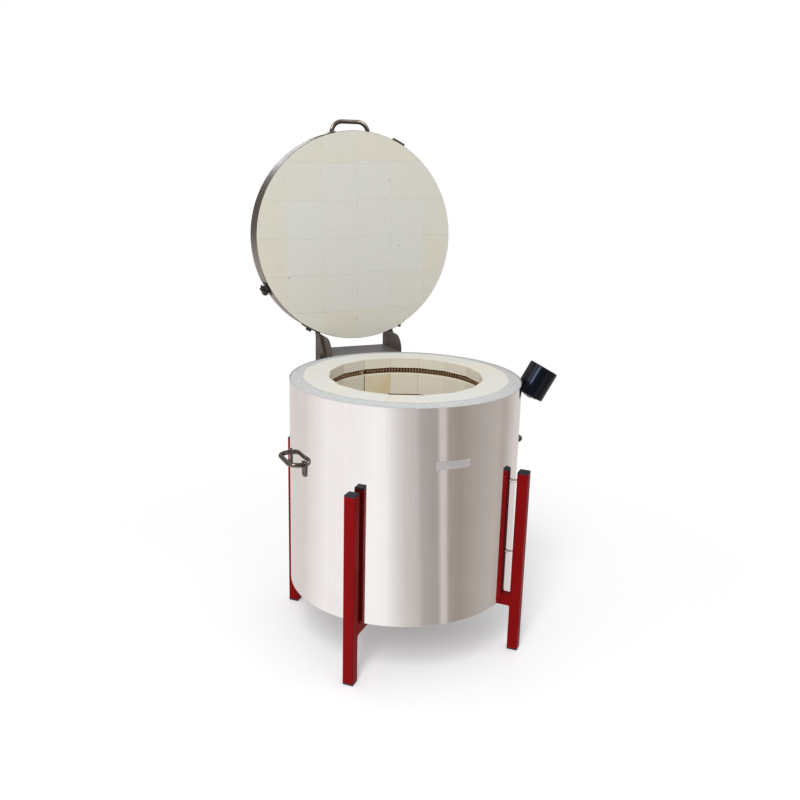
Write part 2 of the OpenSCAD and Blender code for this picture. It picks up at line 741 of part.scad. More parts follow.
// Flat lugs that narrow downwards from the bar, each on one stud
module handle_lugs() color(steel_polished) lug_places() difference() {
  translate([0, -seat, 0]) rotate([90, 0, 0]) linear_extrude(lug_t) polygon([
    [-lug_w / 2, lug_rise], [lug_w / 2, lug_rise], [lug_tip / 2, lug_foot], [-lug_tip / 2, lug_foot]]);
  translate([0, 0, lug_foot + lug_tip / 2]) stud_hole(lug_t);
}

module handle_nuts() color(steel_polished) lug_places() translate([0, -seat, lug_foot + lug_tip / 2]) {
  radial_rod(bolt_d, lug_t + button_h / 2);
  translate([0, -lug_t, 0]) rotate([90, 0, 0]) rotate_extrude() intersection() {
    translate([0, button_h - button_round]) circle(r = button_round);
    square([button_r, button_h]);
  }
}

// Places of the studs in the hinge pads
module pad_stud_places()
  for (side = [-1, 1], z = [pad_top - nut_r - 4, pad_top - pad_h + nut_r + 4])
    on_shell(hinge_az + side * (pad_to - 3), casing_r, z) children();

module hinge_pads() color(steel_brown) difference() {
  for (side = [0, 1]) mirror([side, 0, 0])
    shell_plate(casing_r + seat, pad_r, hinge_az - pad_to, hinge_az - pad_from, pad_top - pad_h, pad_h);
  pad_stud_places() stud_hole(pad_t + 1);
}

module hinge_nuts() color(steel_grey) pad_stud_places() stud_and_nut(nut_r, pad_t);

// Upright cheek with a rounded front corner, cut to the pad that carries it
module hinge_cheek() color(steel_brown) difference() {
  translate([cheek_x, 0, 0]) rotate([90, 0, 90]) linear_extrude(cheek_t) difference() {
    union() {
      translate([cheek_front, cheek_foot]) square([cheek_r, cheek_top - cheek_r - cheek_foot]);
      translate([cheek_front + cheek_r, cheek_foot])
        square([cheek_rear - cheek_front - cheek_r, cheek_top - cheek_foot]);
      translate([cheek_front + cheek_r, cheek_top - cheek_r]) circle(r = cheek_r);
    }
    translate([pivot_y, pivot_z]) circle(d = pin_d + 2 * seat);
  }
  translate([0, 0, cheek_foot - 1]) cylinder(r = pad_r + seat, h = pad_top - cheek_foot + 2);
}

module hinge_cheek_right() hinge_cheek();

module hinge_cheek_left() mirror([1, 0, 0]) hinge_cheek();

// Level plate between the cheeks, hollowed round the casing
module hinge_web() color(steel_grey) difference() {
  translate([-cheek_x, 0, rim_z - web_t]) cube([cheek_gap, casing_r + web_reach, web_t]);
  translate([0, 0, rim_z - web_t - 1]) cylinder(r = casing_r + 1, h = web_t + 2);
}

// Places children on the hinge axis of each side, pointing away from the middle
module on_axis(x) for (side = [0, 1]) mirror([side, 0, 0])
  translate([x, pivot_y, pivot_z]) rotate([0, 90, 0]) children();

module hinge_pins() color(steel_grey) {
  on_axis(cheek_x - head_t) cylinder(d = pin_d + 8, h = head_t);
  on_axis(cheek_x - head_t) cylinder(d = pin_d, h = clip_x + clip_t + 3 - cheek_x + head_t);
}

module hinge_washers() color(steel_grey) {
  on_axis(cheek_x + cheek_t) ring(pin_d, pin_d / 2 + hole_gap, washer_t);
  on_axis(arm_out + pass_gap) ring(pin_d, pin_d / 2 + hole_gap, washer_t);
}

// Snap clips that keep the arms on their pins
module hinge_clips() color(steel_grey) on_axis(clip_x) difference() {
  ring(pin_d - 1, pin_d / 2 + seat, clip_t);
  translate([-pin_d / 4, 0, -1]) cube([pin_d / 2, pin_d, clip_t + 2]);
}

// Studs on the cheeks that the arms' tails rest against when the lid is open
module hinge_stops() color(steel_grey) for (side = [0, 1]) mirror([side, 0, 0])
  lid_pose() translate([cheek_x + cheek_t, pivot_y + tail_l - stop_d, pivot_z - stop_drop])
    rotate([0, 90, 0]) cylinder(d = stop_d, h = arm_out - cheek_x - cheek_t);

// Bent bracket of the control head: pad on the casing, sloping shelf and two side flanges
module pod_bracket() color(steel_grey) difference() {
  on_shell(pod_az, casing_r, pod_foot_z) union() {
    shell_profile([[seat, shelf_z(seat)], [shelf_end, shelf_z(shelf_end)],
      [shelf_end - pod_strap * sin(pod_tilt), shelf_z(shelf_end) - pod_strap * cos(pod_tilt)],
      [seat + pod_strap, shelf_z(seat + pod_strap) - shelf_drop], [seat + pod_strap, pod_pad_foot],
      [seat, pod_pad_foot]], pod_strap_w);
    for (side = [-1, 1]) translate([side * (pod_strap_w / 2 - pod_strap), 0, 0])
      shell_profile([[web_root, shelf_z(web_root) - shelf_drop / 2],
        [web_end, shelf_z(web_end) - shelf_drop / 2], [web_end, pod_pad_foot + web_end],
        [seat + pod_strap, pod_pad_foot + pod_strap], [web_root, pod_pad_foot + pod_strap]], pod_strap);
  }
  pod_stud_places() stud_hole(pod_strap + 1);
  pod_frame() pod_screw_places() translate([0, 0, -pod_strap - 1])
    cylinder(d = bolt_d + 2 * hole_gap, h = pod_strap + 2);
}

// Height of the shelf's upper face at a distance from the casing, from the head's foot
function shelf_z(u) = (pod_off - u) * tan(pod_tilt);
shelf_drop = pod_strap / cos(pod_tilt);
shelf_end = pod_off + 16 * cos(pod_tilt);
pod_pad_foot = shelf_z(seat) - pod_pad_h;
web_root = seat + pod_strap / 2;
web_end = seat + 3.5 * pod_strap;

// Local frame of the control head: origin at the middle of its foot, +Z along its axis
module pod_frame() on_shell(pod_az, pod_foot_r, pod_foot_z) rotate([pod_tilt, 0, 0]) children();

module pod_screw_places() for (side = [-1, 1]) translate([side * pod_strap_w / 4, 0, 0]) children();

module pod_stud_places()
  for (z = [pod_pad_foot + nut_r + 3, pod_pad_foot + 2 * nut_r + 16])
    on_shell(pod_az, casing_r, pod_foot_z + z) children();

// Moulded cup, open at the top
module pod_cup() color(plastic_black) pod_frame() difference() {
  rotate_extrude() polygon([[0, 0], [pod_r - pod_edge, 0], [pod_r, pod_edge], [pod_r, pod_l - pod_cap_h],
    [pod_r - pod_wall, pod_l - pod_cap_h], [pod_r - pod_wall, pod_wall + 1], [0, pod_wall + 1]]);
  pod_screw_places() translate([0, 0, -1]) cylinder(d = bolt_d + 2 * hole_gap, h = pod_wall + 3);
}

// Cap with a spigot in the cup and a shallow round recess in its face
module pod_cap() color(plastic_black) pod_frame() translate([0, 0, pod_l - pod_cap_h]) rotate_extrude()
  polygon([[0, 0], [pod_spigot_r - pod_wall, 0], [pod_spigot_r - pod_wall, -pod_cap_h],
    [pod_spigot_r, -pod_cap_h], [pod_spigot_r, 0], [pod_r, 0], [pod_r, pod_cap_h - pod_edge],
    [pod_r - pod_edge, pod_cap_h],
    [pod_r - 3 * pod_edge, pod_cap_h], [pod_r - 3 * pod_edge, pod_cap_h - 1], [0, pod_cap_h - 1]]);

module pod_screws() color(steel_grey) {
  pod_frame() pod_screw_places() {
    translate([0, 0, -pod_strap - bolt_d / 2]) cylinder(d = 2 * bolt_d, h = bolt_d / 2);
    translate([0, 0, -pod_strap]) cylinder(d = bolt_d, h = pod_strap + pod_wall + 4);
  }
  pod_stud_places() stud_and_nut(nut_r, pod_strap);
}

// Cemented slab of lid bricks, with pointing between the bricks of its face
module lid_bricks() color(brick_cream) lid_pose() difference() {
  translate([0, 0, lid_z]) cylinder(r = lid_brick_r, h = lid_brick_t);
  for (k = [-3:3]) {
    translate([lid_joint_x + k * lid_cell - pointing / 2, -lid_r, lid_z - pointing])
      cube([pointing, 2 * lid_r, 2 * pointing]);
    translate([lid_joint_x, lid_joint_y + k * lid_cell - pointing / 2, lid_z - pointing])
      cube([lid_r, pointing, 2 * pointing]);
    translate([lid_joint_x - 2 * lid_r, lid_joint_y + lid_step + k * lid_cell, lid_z - pointing])
      translate([0, -pointing / 2, 0]) cube([2 * lid_r, pointing, 2 * pointing]);
  }
}

module lid_fibre() color(fibre_white) lid_pose()
  translate([0, 0, lid_z + lid_brick_t]) cylinder(r = lid_brick_r, h = lid_fibre_t);

module lid_band() color(steel_polished) lid_pose()
  translate([0, 0, lid_z + lid_face_proud]) ring(lid_r, lid_r - lid_sheet_t, lid_t - lid_face_proud);

module lid_cover() color(steel_polished) lid_pose()
  translate([0, 0, lid_z + lid_t - lid_sheet_t]) cylinder(r = lid_brick_r, h = lid_sheet_t);

// Places of the studs in the arms' pads, on the closed lid
module arm_stud_places()
  for (side = [-1, 1], z = [nut_r + 1, arm_w - nut_r - 1])
    on_shell(hinge_az + side * (arm_pad_to - 4), lid_r, lid_z + arm_up + z) children();

// Hinge arm of the closed lid: pad on the band, plate to the boss, and tail for the open stop
module lid_arm() difference() {
  union() {
    translate([arm_x, 0, 0]) rotate([90, 0, 90]) linear_extrude(arm_t) difference() {
      union() {
        polygon([[pivot_y - lid_edge, lid_z + arm_up], [pivot_y - lid_edge, lid_z + arm_up + arm_w],
          [pivot_y + boss_r * sin(arm_slope), pivot_z + boss_r * cos(arm_slope)],
          [pivot_y - boss_r * sin(arm_slope), pivot_z - boss_r * cos(arm_slope)]]);
        translate([pivot_y, pivot_z]) circle(r = boss_r);
        translate([pivot_y, pivot_z - tail_half]) square([tail_l, 2 * tail_half]);
      }
      translate([pivot_y, pivot_z]) circle(d = pin_d + 2 * run);
    }
    shell_plate(lid_r + seat, arm_pad_r, hinge_az - arm_pad_to, hinge_az - arm_pad_from,
      lid_z + arm_up, arm_w);
  }
  translate([0, 0, lid_z - 1]) cylinder(r = lid_r + seat, h = lid_t + 2);
  arm_stud_places() stud_hole(arm_pad_t + 1);
}

module lid_arm_right() color(steel_brown) lid_pose() lid_arm();

module lid_arm_left() color(steel_brown) lid_pose() mirror([1, 0, 0]) lid_arm();

module lid_arm_bolts() color(steel_grey) lid_pose() arm_stud_places() stud_and_nut(nut_r, arm_pad_t);

// Bow handle with round feet on the front of the lid's band
module lid_handle() color(steel_polished) lid_pose() difference() {
  union() {
    on_shell(0, lid_foot, grip_z) bow_bar(lid_span, lid_r + lid_reach - lid_foot, bar_d, lid_bend);
    for (end = [-1, 1]) on_shell(end * asin(lid_span / 2 / lid_r), lid_r - 1, grip_z)
      radial_rod(2 * bar_d, 4);
  }
  translate([0, 0, lid_z]) cylinder(r = lid_r + lid_foot_gap, h = lid_t);
}

// Ears of the band's tensioner, on a short strap
module lid_clamp_lugs() color(steel_grey) lid_pose() on_shell(clamp_az, lid_r + seat, lid_mid) difference() {
  union() {
    translate([-ear_gap / 2 - ear_l, -ear_t / 2, -ear_h / 2]) cube([ear_gap + 2 * ear_l, ear_t / 2, ear_h]);
    for (side = [-1, 1]) translate([side * ear_gap / 2 - ear_t / 2, -ear_out, -ear_h / 2])
      cube([ear_t, ear_out, ear_h]);
  }
  translate([-ear_gap, -ear_bolt, 0]) rotate([0, 90, 0])
    cylinder(d = bolt_d + 2 * hole_gap, h = 2 * ear_gap);
}

module lid_clamp_screw() color(steel_grey) lid_pose()
  on_shell(clamp_az, lid_r + seat + ear_bolt, lid_mid) rotate([0, 90, 0]) {
    translate([0, 0, -ear_gap / 2 - ear_t / 2 - head_t]) cylinder(r = nut_r, h = head_t, $fn = 6);
    translate([0, 0, -ear_gap / 2 - ear_t / 2]) cylinder(d = bolt_d, h = ear_gap + ear_t + 2 * head_t);
    translate([0, 0, ear_gap / 2 + ear_t / 2]) cylinder(r = nut_r, h = head_t, $fn = 6);
  }

// Low bevelled plate on the band beside the handle
module lid_catch_plate() color(steel_grey) lid_pose() on_shell(catch_az, lid_r + seat, catch_z)
  shell_profile([[0, -catch_h / 2], [0, catch_h / 2], [catch_t / 2, catch_h / 2],
    [catch_t, catch_h / 2 - catch_t], [catch_t, catch_t - catch_h / 2],
    [catch_t / 2, -catch_h / 2]], catch_w);

casing();
base_pan();
base_board();
floor_bricks();
wall_bricks_lower();
wall_bricks_upper();
fibre_jacket();
heating_coil_top();
heating_coils_lower();
element_leads();
lead_bushes();
element_clamps();
terminal_box();
terminal_box_cover();
terminal_box_screws();
cable_gland();
thermocouple_sheath();
thermocouple_head();
leg_front_left();
leg_front_right();
leg_rear_left();
leg_rear_right();
stand_beam();
stand_beam_left();
stand_beam_right();
leg_caps();
leg_feet();
leg_spacers();
leg_studs();
handle_left();
handle_right();
handle_lugs();
handle_nuts();
hinge_pads();
hinge_cheek_left();
hinge_cheek_right();
hinge_web();
hinge_pins();
hinge_washers();
hinge_clips();
hinge_stops();
hinge_nuts();
pod_bracket();
pod_cup();
pod_cap();
pod_screws();
lid_bricks();
lid_fibre();
lid_band();
lid_cover();
lid_arm_left();
lid_arm_right();
lid_arm_bolts();
lid_handle();
lid_clamp_lugs();
lid_clamp_screw();
lid_catch_plate();
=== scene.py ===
"""Looks of a round top-loading electric kiln, dressed around its solid model.

Every object is in metres in the kiln's own frame: the origin is the middle of the chamber
floor, +Z is up, -Y is the front and +Y is the hinge. Sizes in the classes are in millimetres
and azimuths in degrees from the front. In a finish, a pair of numbers gives where an effect
begins and where it is full.
"""

import json
import logging
import math
from collections.abc import Iterator, Sequence
from contextlib import contextmanager
from dataclasses import dataclass
from enum import Enum

import bpy
from mathutils import Matrix, Vector


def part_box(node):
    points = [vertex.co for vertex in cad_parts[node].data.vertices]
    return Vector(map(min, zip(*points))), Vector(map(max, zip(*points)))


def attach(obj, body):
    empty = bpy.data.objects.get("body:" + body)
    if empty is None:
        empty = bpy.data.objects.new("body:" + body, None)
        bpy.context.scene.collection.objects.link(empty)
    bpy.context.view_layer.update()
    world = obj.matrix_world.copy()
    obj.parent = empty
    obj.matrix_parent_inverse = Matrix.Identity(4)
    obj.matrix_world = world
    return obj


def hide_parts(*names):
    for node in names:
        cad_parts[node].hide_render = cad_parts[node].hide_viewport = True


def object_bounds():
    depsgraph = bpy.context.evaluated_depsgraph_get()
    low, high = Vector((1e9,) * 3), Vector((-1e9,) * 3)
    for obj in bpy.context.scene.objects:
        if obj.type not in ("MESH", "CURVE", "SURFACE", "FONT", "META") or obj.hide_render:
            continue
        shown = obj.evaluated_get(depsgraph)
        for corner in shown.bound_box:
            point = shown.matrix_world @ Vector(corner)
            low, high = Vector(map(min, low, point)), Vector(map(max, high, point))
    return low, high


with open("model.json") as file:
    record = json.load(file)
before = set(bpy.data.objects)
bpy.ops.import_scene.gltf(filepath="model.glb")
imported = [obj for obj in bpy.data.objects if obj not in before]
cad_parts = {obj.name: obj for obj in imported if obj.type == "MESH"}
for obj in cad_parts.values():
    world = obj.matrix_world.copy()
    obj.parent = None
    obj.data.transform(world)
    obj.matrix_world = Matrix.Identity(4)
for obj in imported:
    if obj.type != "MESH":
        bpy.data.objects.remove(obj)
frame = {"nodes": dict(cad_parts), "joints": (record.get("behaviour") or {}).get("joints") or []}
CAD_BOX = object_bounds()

# Short names for types in the hints
Piece = bpy.types.Object
Socket = bpy.types.NodeSocket
Tree = bpy.types.NodeTree
Pair = tuple[float, float]
Triple = tuple[float, float, float]
Inputs = dict | Sequence

log = logging.getLogger("kiln")
# Points that are closer than this, in metres, are one point
WELD = 1e-5
# Faces within the first angle are flat to each other, and edges past the second are sharp
FLAT_ANGLE = math.radians(0.2)
CREASE = math.radians(35)
# Facets round a sheet's edge, cuts across a bent sheet, and its rounding as a share of its thickness
EDGE_STEPS = 6
PATCH_CUTS = 23
PATCH_EDGE = 0.4
# The chamber: its sides, the element rows below the top one, and where the elements leave it
SIDES = 16
SIDE_ANGLE = 2 * math.pi / SIDES
LOWER_ROWS = 5
GROOVE_WIDTH = 15.0
LEAD_AZIMUTH = 191.25
# Edge wear: cosines between the true and the eased normal, grain in millimetres, and its values
# that break the wear up
WEAR_EDGE = (0.985, 0.87)
WEAR_GRAIN = (9, 9, 22)
WEAR_BREAK = (0.38, 0.6)


class Body(Enum):
    """Bodies of the kiln that pieces ride on."""

    KILN = "kiln_body"
    LID = "lid"


class Slot(Enum):
    """Material slots of the record."""

    POLISHED = "polished_steel"
    HINGE = "hinge_steel"
    PLAIN = "plain_steel"
    BRICK = "firebrick"
    FIBRE = "ceramic_fibre"
    WIRE = "heating_wire"
    PORCELAIN = "porcelain"
    BRASS = "brass"
    PLASTIC = "black_plastic"
    ENAMEL = "red_enamel"


class Pick(Enum):
    """Kinds of mesh element that edit mode selects."""

    VERTEX = "VERT"
    EDGE = "EDGE"
    FACE = "FACE"


def mm(value: float) -> float:
    """Millimetres as metres."""
    return value / 1000.0


def srgb(code: str) -> tuple[float, float, float, float]:
    """Turns an sRGB hex colour into linear light.

    Args:
        code: The colour as "#rrggbb".

    Returns:
        Linear red, green and blue, and an alpha of 1.
    """
    parts = [int(code[i : i + 2], 16) / 255 for i in (1, 3, 5)]
    linear = [p / 12.92 if p <= 0.04045 else ((p + 0.055) / 1.055) ** 2.4 for p in parts]
    return (linear[0], linear[1], linear[2], 1.0)


def wire(node: bpy.types.Node, inputs: Inputs) -> None:
    """Sets a node's inputs.

    Args:
        node: The node.
        inputs: Values, or sockets to link to, in the order of the inputs or by name or number.
    """
    named = inputs if isinstance(inputs, dict) else dict(enumerate(inputs))
    for name, value in named.items():
        if isinstance(value, Socket):
            node.id_data.links.new(value, node.inputs[name])
        else:
            node.inputs[name].default_value = value


def add_node(tree: Tree, kind: str, inputs: Inputs, out: int | str = 0, **settings: object) -> Socket:
    """Adds a shader node with its settings, values and links.

    Args:
        tree: The node tree that gets the node.
        kind: The node's Blender type after "ShaderNode".
        inputs: Values, or sockets to link to, in the order of the inputs or by name or number.
        out: Number or name of the output to use.
        **settings: The node's own properties.

    Returns:
        The output, through which the node is still at hand.
    """
    node = tree.nodes.new(f"ShaderNode{kind}")
    for name, value in settings.items():
        setattr(node, name, value)
    wire(node, inputs)
    return node.outputs[out]


def clear_selection() -> None:
    """Leaves edit mode and deselects every object."""
    if bpy.context.mode != "OBJECT":
        bpy.ops.object.mode_set(mode="OBJECT")
    bpy.ops.object.select_all(action="DESELECT")


def activate(piece: Piece) -> None:
    """Makes a piece the only selected and the active object."""
    clear_selection()
    piece.select_set(True)
    bpy.context.view_layer.objects.active = piece


@contextmanager
def editing(piece: Piece, pick: Pick) -> Iterator[None]:
    """Edit mode on one piece, with one kind of element to select.

    Args:
        piece: The piece to edit.
        pick: The kind of element that selections are made of.

    Returns:
        A context that starts with all selected and goes back to object mode at its end.
    """
    activate(piece)
    bpy.ops.object.mode_set(mode="EDIT")
    bpy.ops.mesh.select_mode(type=pick.value)
    bpy.ops.mesh.select_all(action="SELECT")
    try:
        yield
    finally:
        bpy.ops.object.mode_set(mode="OBJECT")


def apply_modifiers(piece: Piece) -> None:
    """Applies the piece's modifiers in order."""
    activate(piece)
    for modifier in list(piece.modifiers):
        bpy.ops.object.modifier_apply(modifier=modifier.name)


def settle(piece: Piece) -> None:
    """Puts the piece's place into its mesh, with the object at the origin."""
    activate(piece)
    bpy.ops.object.transform_apply(location=True, rotation=True, scale=True)


def bevel(piece: Piece, width: float, segments: int = 2) -> None:
    """Rounds the piece's sharp edges.

    Args:
        piece: The piece to round.
        width: Width of the rounding in millimetres.
        segments: Facets across the rounding.
    """
    rounding = piece.modifiers.new("rounding", "BEVEL")
    rounding.width = mm(width)
    rounding.segments = segments
    rounding.limit_method = "ANGLE"
    rounding.angle_limit = CREASE
    apply_modifiers(piece)


def smooth(piece: Piece) -> Piece:
    """Shades a piece smooth across its small angles, with flat faces kept flat.

    Args:
        piece: The piece to shade.

    Returns:
        The same piece.
    """
    activate(piece)
    bpy.ops.object.shade_smooth_by_angle(angle=CREASE)
    even = piece.modifiers.new("even", "WEIGHTED_NORMAL")
    even.keep_sharp = True
    apply_modifiers(piece)
    return piece


def joined(name: str, parts: Sequence[Piece]) -> Piece:
    """Joins meshes into one piece.

    Args:
        name: Name of the piece.
        parts: The meshes, of which the first takes in the others.

    Returns:
        The joined piece.
    """
    activate(parts[0])
    for part in parts:
        part.select_set(True)
    if len(parts) > 1:
        bpy.ops.object.join()
    parts[0].name = name
    return parts[0]


def repeated(name: str, pattern: Piece, places: Sequence[Matrix]) -> Piece:
    """Copies a pattern to several places, each copy with its own mesh, and joins the copies.

    Args:
        name: Name of the piece.
        pattern: The shape to copy, which is removed afterwards.
        places: Where the copies go.

    Returns:
        The smoothed piece, at the origin.
    """
    copies = []
    for place in places:
        copy = bpy.data.objects.new(pattern.name, pattern.data.copy())
        copy.data.transform(place)
        bpy.context.scene.collection.objects.link(copy)
        copies.append(copy)
    bpy.data.objects.remove(pattern)
    return smooth(joined(name, copies))


def facing(place: Vector, way: Vector) -> Matrix:
    """Matrix that takes a shape to a place and turns its Z to a direction."""
    return Matrix.Translation(place) @ way.to_track_quat("Z", "Y").to_matrix().to_4x4()


def turned(name: str, outline: Sequence[Pair], steps: int) -> Piece:
    """Turns a closed outline about Z by drawing a circle from point to point.

    Args:
        name: Name of the piece.
        outline: Radius and height of each point, in millimetres.
        steps: Facets round the circle.

    Returns:
        The turned piece, with closed walls.
    """
    clear_selection()
    radius, height = outline[0]
    bpy.ops.mesh.primitive_circle_add(vertices=steps, radius=mm(radius), location=(0, 0, mm(height)))
    piece = bpy.context.object
    piece.name = name
    settle(piece)
    with editing(piece, Pick.EDGE):
        for next_radius, next_height in [*outline[1:], outline[0]]:
            bpy.ops.mesh.extrude_edges_move(
                TRANSFORM_OT_translate={"value": (0, 0, mm(next_height - height))}
            )
            grow = next_radius / radius
            bpy.ops.transform.resize(value=(grow, grow, 1), center_override=(0, 0, mm(next_height)))
            radius, height = next_radius, next_height
        bpy.ops.mesh.select_all(action="SELECT")
        bpy.ops.mesh.remove_doubles(threshold=WELD)
        bpy.ops.mesh.normals_make_consistent(inside=False)
    return piece


def arc(centre: Pair, radius: float, start: float, end: float, steps: int) -> list[Pair]:
    """Points of an arc in an outline.

    Args:
        centre: Middle of the arc.
        radius: Radius of the arc.
        start: First angle in degrees.
        end: Last angle in degrees.
        steps: Stretches between the points.

    Returns:
        The points, both ends included.
    """
    angles = [math.radians(start + (end - start) * i / steps) for i in range(steps + 1)]
    return [(centre[0] + radius * math.cos(a), centre[1] + radius * math.sin(a)) for a in angles]


def sheet_ring(name: str, radius: float, rise: Pair, sheet: float, steps: int) -> Piece:
    """Turns a ring of sheet with rounded edges.

    Args:
        name: Name of the piece.
        radius: Outer radius in millimetres.
        rise: Lowest and highest height in millimetres.
        sheet: Thickness in millimetres.
        steps: Facets round the ring.

    Returns:
        The ring.
    """
    half = sheet / 2
    outline = arc((radius - half, rise[1] - half), half, 0, 180, EDGE_STEPS)
    outline += arc((radius - half, rise[0] + half), half, 180, 360, EDGE_STEPS)
    return turned(name, outline, steps)


def outward(azimuth: float) -> Vector:
    """Unit vector away from the kiln's axis at an azimuth from the front, in radians."""
    return Vector((math.sin(azimuth), -math.cos(azimuth), 0))


def shell_patch(name: str, radius: float, span: Pair, rise: Pair, thickness: float) -> Piece:
    """Models a thin sheet bent round the kiln.

    Args:
        name: Name of the piece.
        radius: Radius of its inner face in millimetres.
        span: First and last azimuth in degrees.
        rise: Lowest and highest height in millimetres.
        thickness: Thickness in millimetres.

    Returns:
        The sheet, with rounded edges.
    """
    clear_selection()
    bpy.ops.mesh.primitive_plane_add(size=1)
    piece = bpy.context.object
    piece.name = name
    with editing(piece, Pick.FACE):
        bpy.ops.mesh.subdivide(number_cuts=PATCH_CUTS)
    for vertex in piece.data.vertices:
        across, along = vertex.co.x + 0.5, vertex.co.y + 0.5
        azimuth = math.radians(span[0] + (span[1] - span[0]) * across)
        vertex.co = mm(radius) * outward(azimuth)
        vertex.co.z = mm(rise[0] + (rise[1] - rise[0]) * along)
    wall = piece.modifiers.new("wall", "SOLIDIFY")
    wall.thickness = mm(thickness)
    wall.offset = 1
    apply_modifiers(piece)
    bevel(piece, thickness * PATCH_EDGE)
    return smooth(piece)


def softened(node: str, edge: float) -> Piece:
    """Copies a solid of the frame and rounds its sharp edges.

    Args:
        node: Name of the solid.
        edge: Width of the rounding in millimetres, or 0 for none.

    Returns:
        The rounded piece.
    """
    piece = bpy.data.objects.new(f"{node}_finished", frame["nodes"][node].data.copy())
    bpy.context.scene.collection.objects.link(piece)
    with editing(piece, Pick.VERTEX):
        bpy.ops.mesh.remove_doubles(threshold=WELD)
        bpy.ops.mesh.customdata_custom_splitnormals_clear()
        bpy.ops.mesh.dissolve_limited(angle_limit=FLAT_ANGLE)
    if edge > 0:
        bevel(piece, edge)
    return smooth(piece)


@dataclass(frozen=True)
class Grooves:
    """Rows of grooves that the elements lie in, in metres and radians."""

    # Height of the top row, pitch of the rows, half a groove's width, and azimuth of the element ends
    first: float
    pitch: float
    half: float
    leads: float


def groove_rows() -> Grooves:
    """Reads the grooves' rows from the elements of the frame.

    Returns:
        The rows, from the top one down.
    """
    low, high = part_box("heating_coil_top")
    row_low, row_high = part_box("heating_coils_lower")
    coil = high.z - low.z
    pitch = (row_high.z - row_low.z - coil) / (LOWER_ROWS - 1)
    return Grooves((low.z + high.z) / 2, pitch, mm(GROOVE_WIDTH) / 2, math.radians(LEAD_AZIMUTH))


@dataclass(frozen=True)
class LidBond:
    """Lie of the lid's bricks on the shut lid, and the turn that shuts the lid."""

    shut: Matrix
    # Where the joints cross, and how far the joints of the left half are shifted, in millimetres
    joint_x: float = 1.0
    joint_y: float = -4.0
    step: float = 8.0

    def closed(self, node: str) -> list[Vector]:
        """Points of one of the lid's solids when the lid is shut, in metres."""
        return [self.shut @ vertex.co for vertex in frame["nodes"][node].data.vertices]


def shutting_turn() -> Matrix:
    """Matrix that takes a point of the open lid to its place when the lid is shut."""
    hinge = frame["joints"][0]
    pivot = Matrix.Translation(hinge["pos_m"])
    return pivot @ Matrix.Rotation(math.radians(hinge["range_deg"][1]), 4, "X") @ pivot.inverted()


GROOVES = groove_rows()
LID_BOND = LidBond(shutting_turn())


@dataclass(frozen=True)
class Finish:
    """A surface finish, made once as a node material."""

    name: str

    def material(self) -> bpy.types.Material:
        """Gives the finish's material, which is made on first use.

        Returns:
            The node material.
        """
        made = bpy.data.materials.get(self.name)
        if made is None:
            made = bpy.data.materials.new(self.name)
            made.use_nodes = True
            tree = made.node_tree
            place = add_node(tree, "TexCoord", (), "Object")
            wire(tree.nodes["Principled BSDF"], self.shade(tree, place))
        return made

    def shade(self, tree: Tree, place: Socket) -> dict:
        """Sets up the finish's nodes.

        Args:
            tree: The material's node tree.
            place: Object coordinates in metres.

        Returns:
            The surface shader's inputs.
        """
        raise NotImplementedError

    def grain(self, tree: Tree, place: Socket, period: Triple, detail: float) -> Socket:
        """Cloudy variation whose grain can be longer one way than another.

        Args:
            tree: The material's node tree.
            place: Coordinates in metres.
            period: Size of the grain along X, Y and Z, in millimetres.
            detail: Number of finer octaves.

        Returns:
            A value around 0.5.
        """
        scaled = add_node(tree, "Mapping", {"Vector": place, "Scale": [1 / mm(p) for p in period]})
        return add_node(tree, "TexNoise", {"Vector": scaled, "Scale": 1.0, "Detail": detail}, "Fac")

    def layered(self, tree: Tree, ground: Socket | Sequence, *layers: tuple[Socket, str]) -> Socket:
        """Lays colours over one another, each by its own share.

        Args:
            tree: The material's node tree.
            ground: The lowest colour, linear or from a node.
            *layers: Share and sRGB hex colour of each layer above it.

        Returns:
            The colour that shows.
        """
        # A Mix node has its two colours at inputs 6 and 7, and their mixture at output 2
        for share, colour in layers:
            ground = add_node(tree, "Mix", {0: share, 6: ground, 7: srgb(colour)}, 2, data_type="RGBA")
        return ground

    def worn_edges(self, tree: Tree, place: Socket, reach: float) -> Socket:
        """Share of wear, along the sharp edges and broken up as handling leaves it; coated finishes also
        use it for a painted edge highlight.

        Args:
            tree: The material's node tree.
            place: Coordinates in metres.
            reach: Width of the worn strip in millimetres.

        Returns:
            A value from 0, sound, to 1, worn.
        """
        eased = add_node(tree, "Bevel", {"Radius": mm(reach)}, samples=4)
        plain = add_node(tree, "NewGeometry", (), "Normal")
        likeness = add_node(tree, "VectorMath", (eased, plain), "Value", operation="DOT_PRODUCT")
        edge = add_node(tree, "MapRange", (likeness, *WEAR_EDGE))
        rubbed = self.grain(tree, place, WEAR_GRAIN, detail=4)
        broken = add_node(tree, "MapRange", (rubbed, *WEAR_BREAK))
        return add_node(tree, "Math", (edge, broken), operation="MULTIPLY")


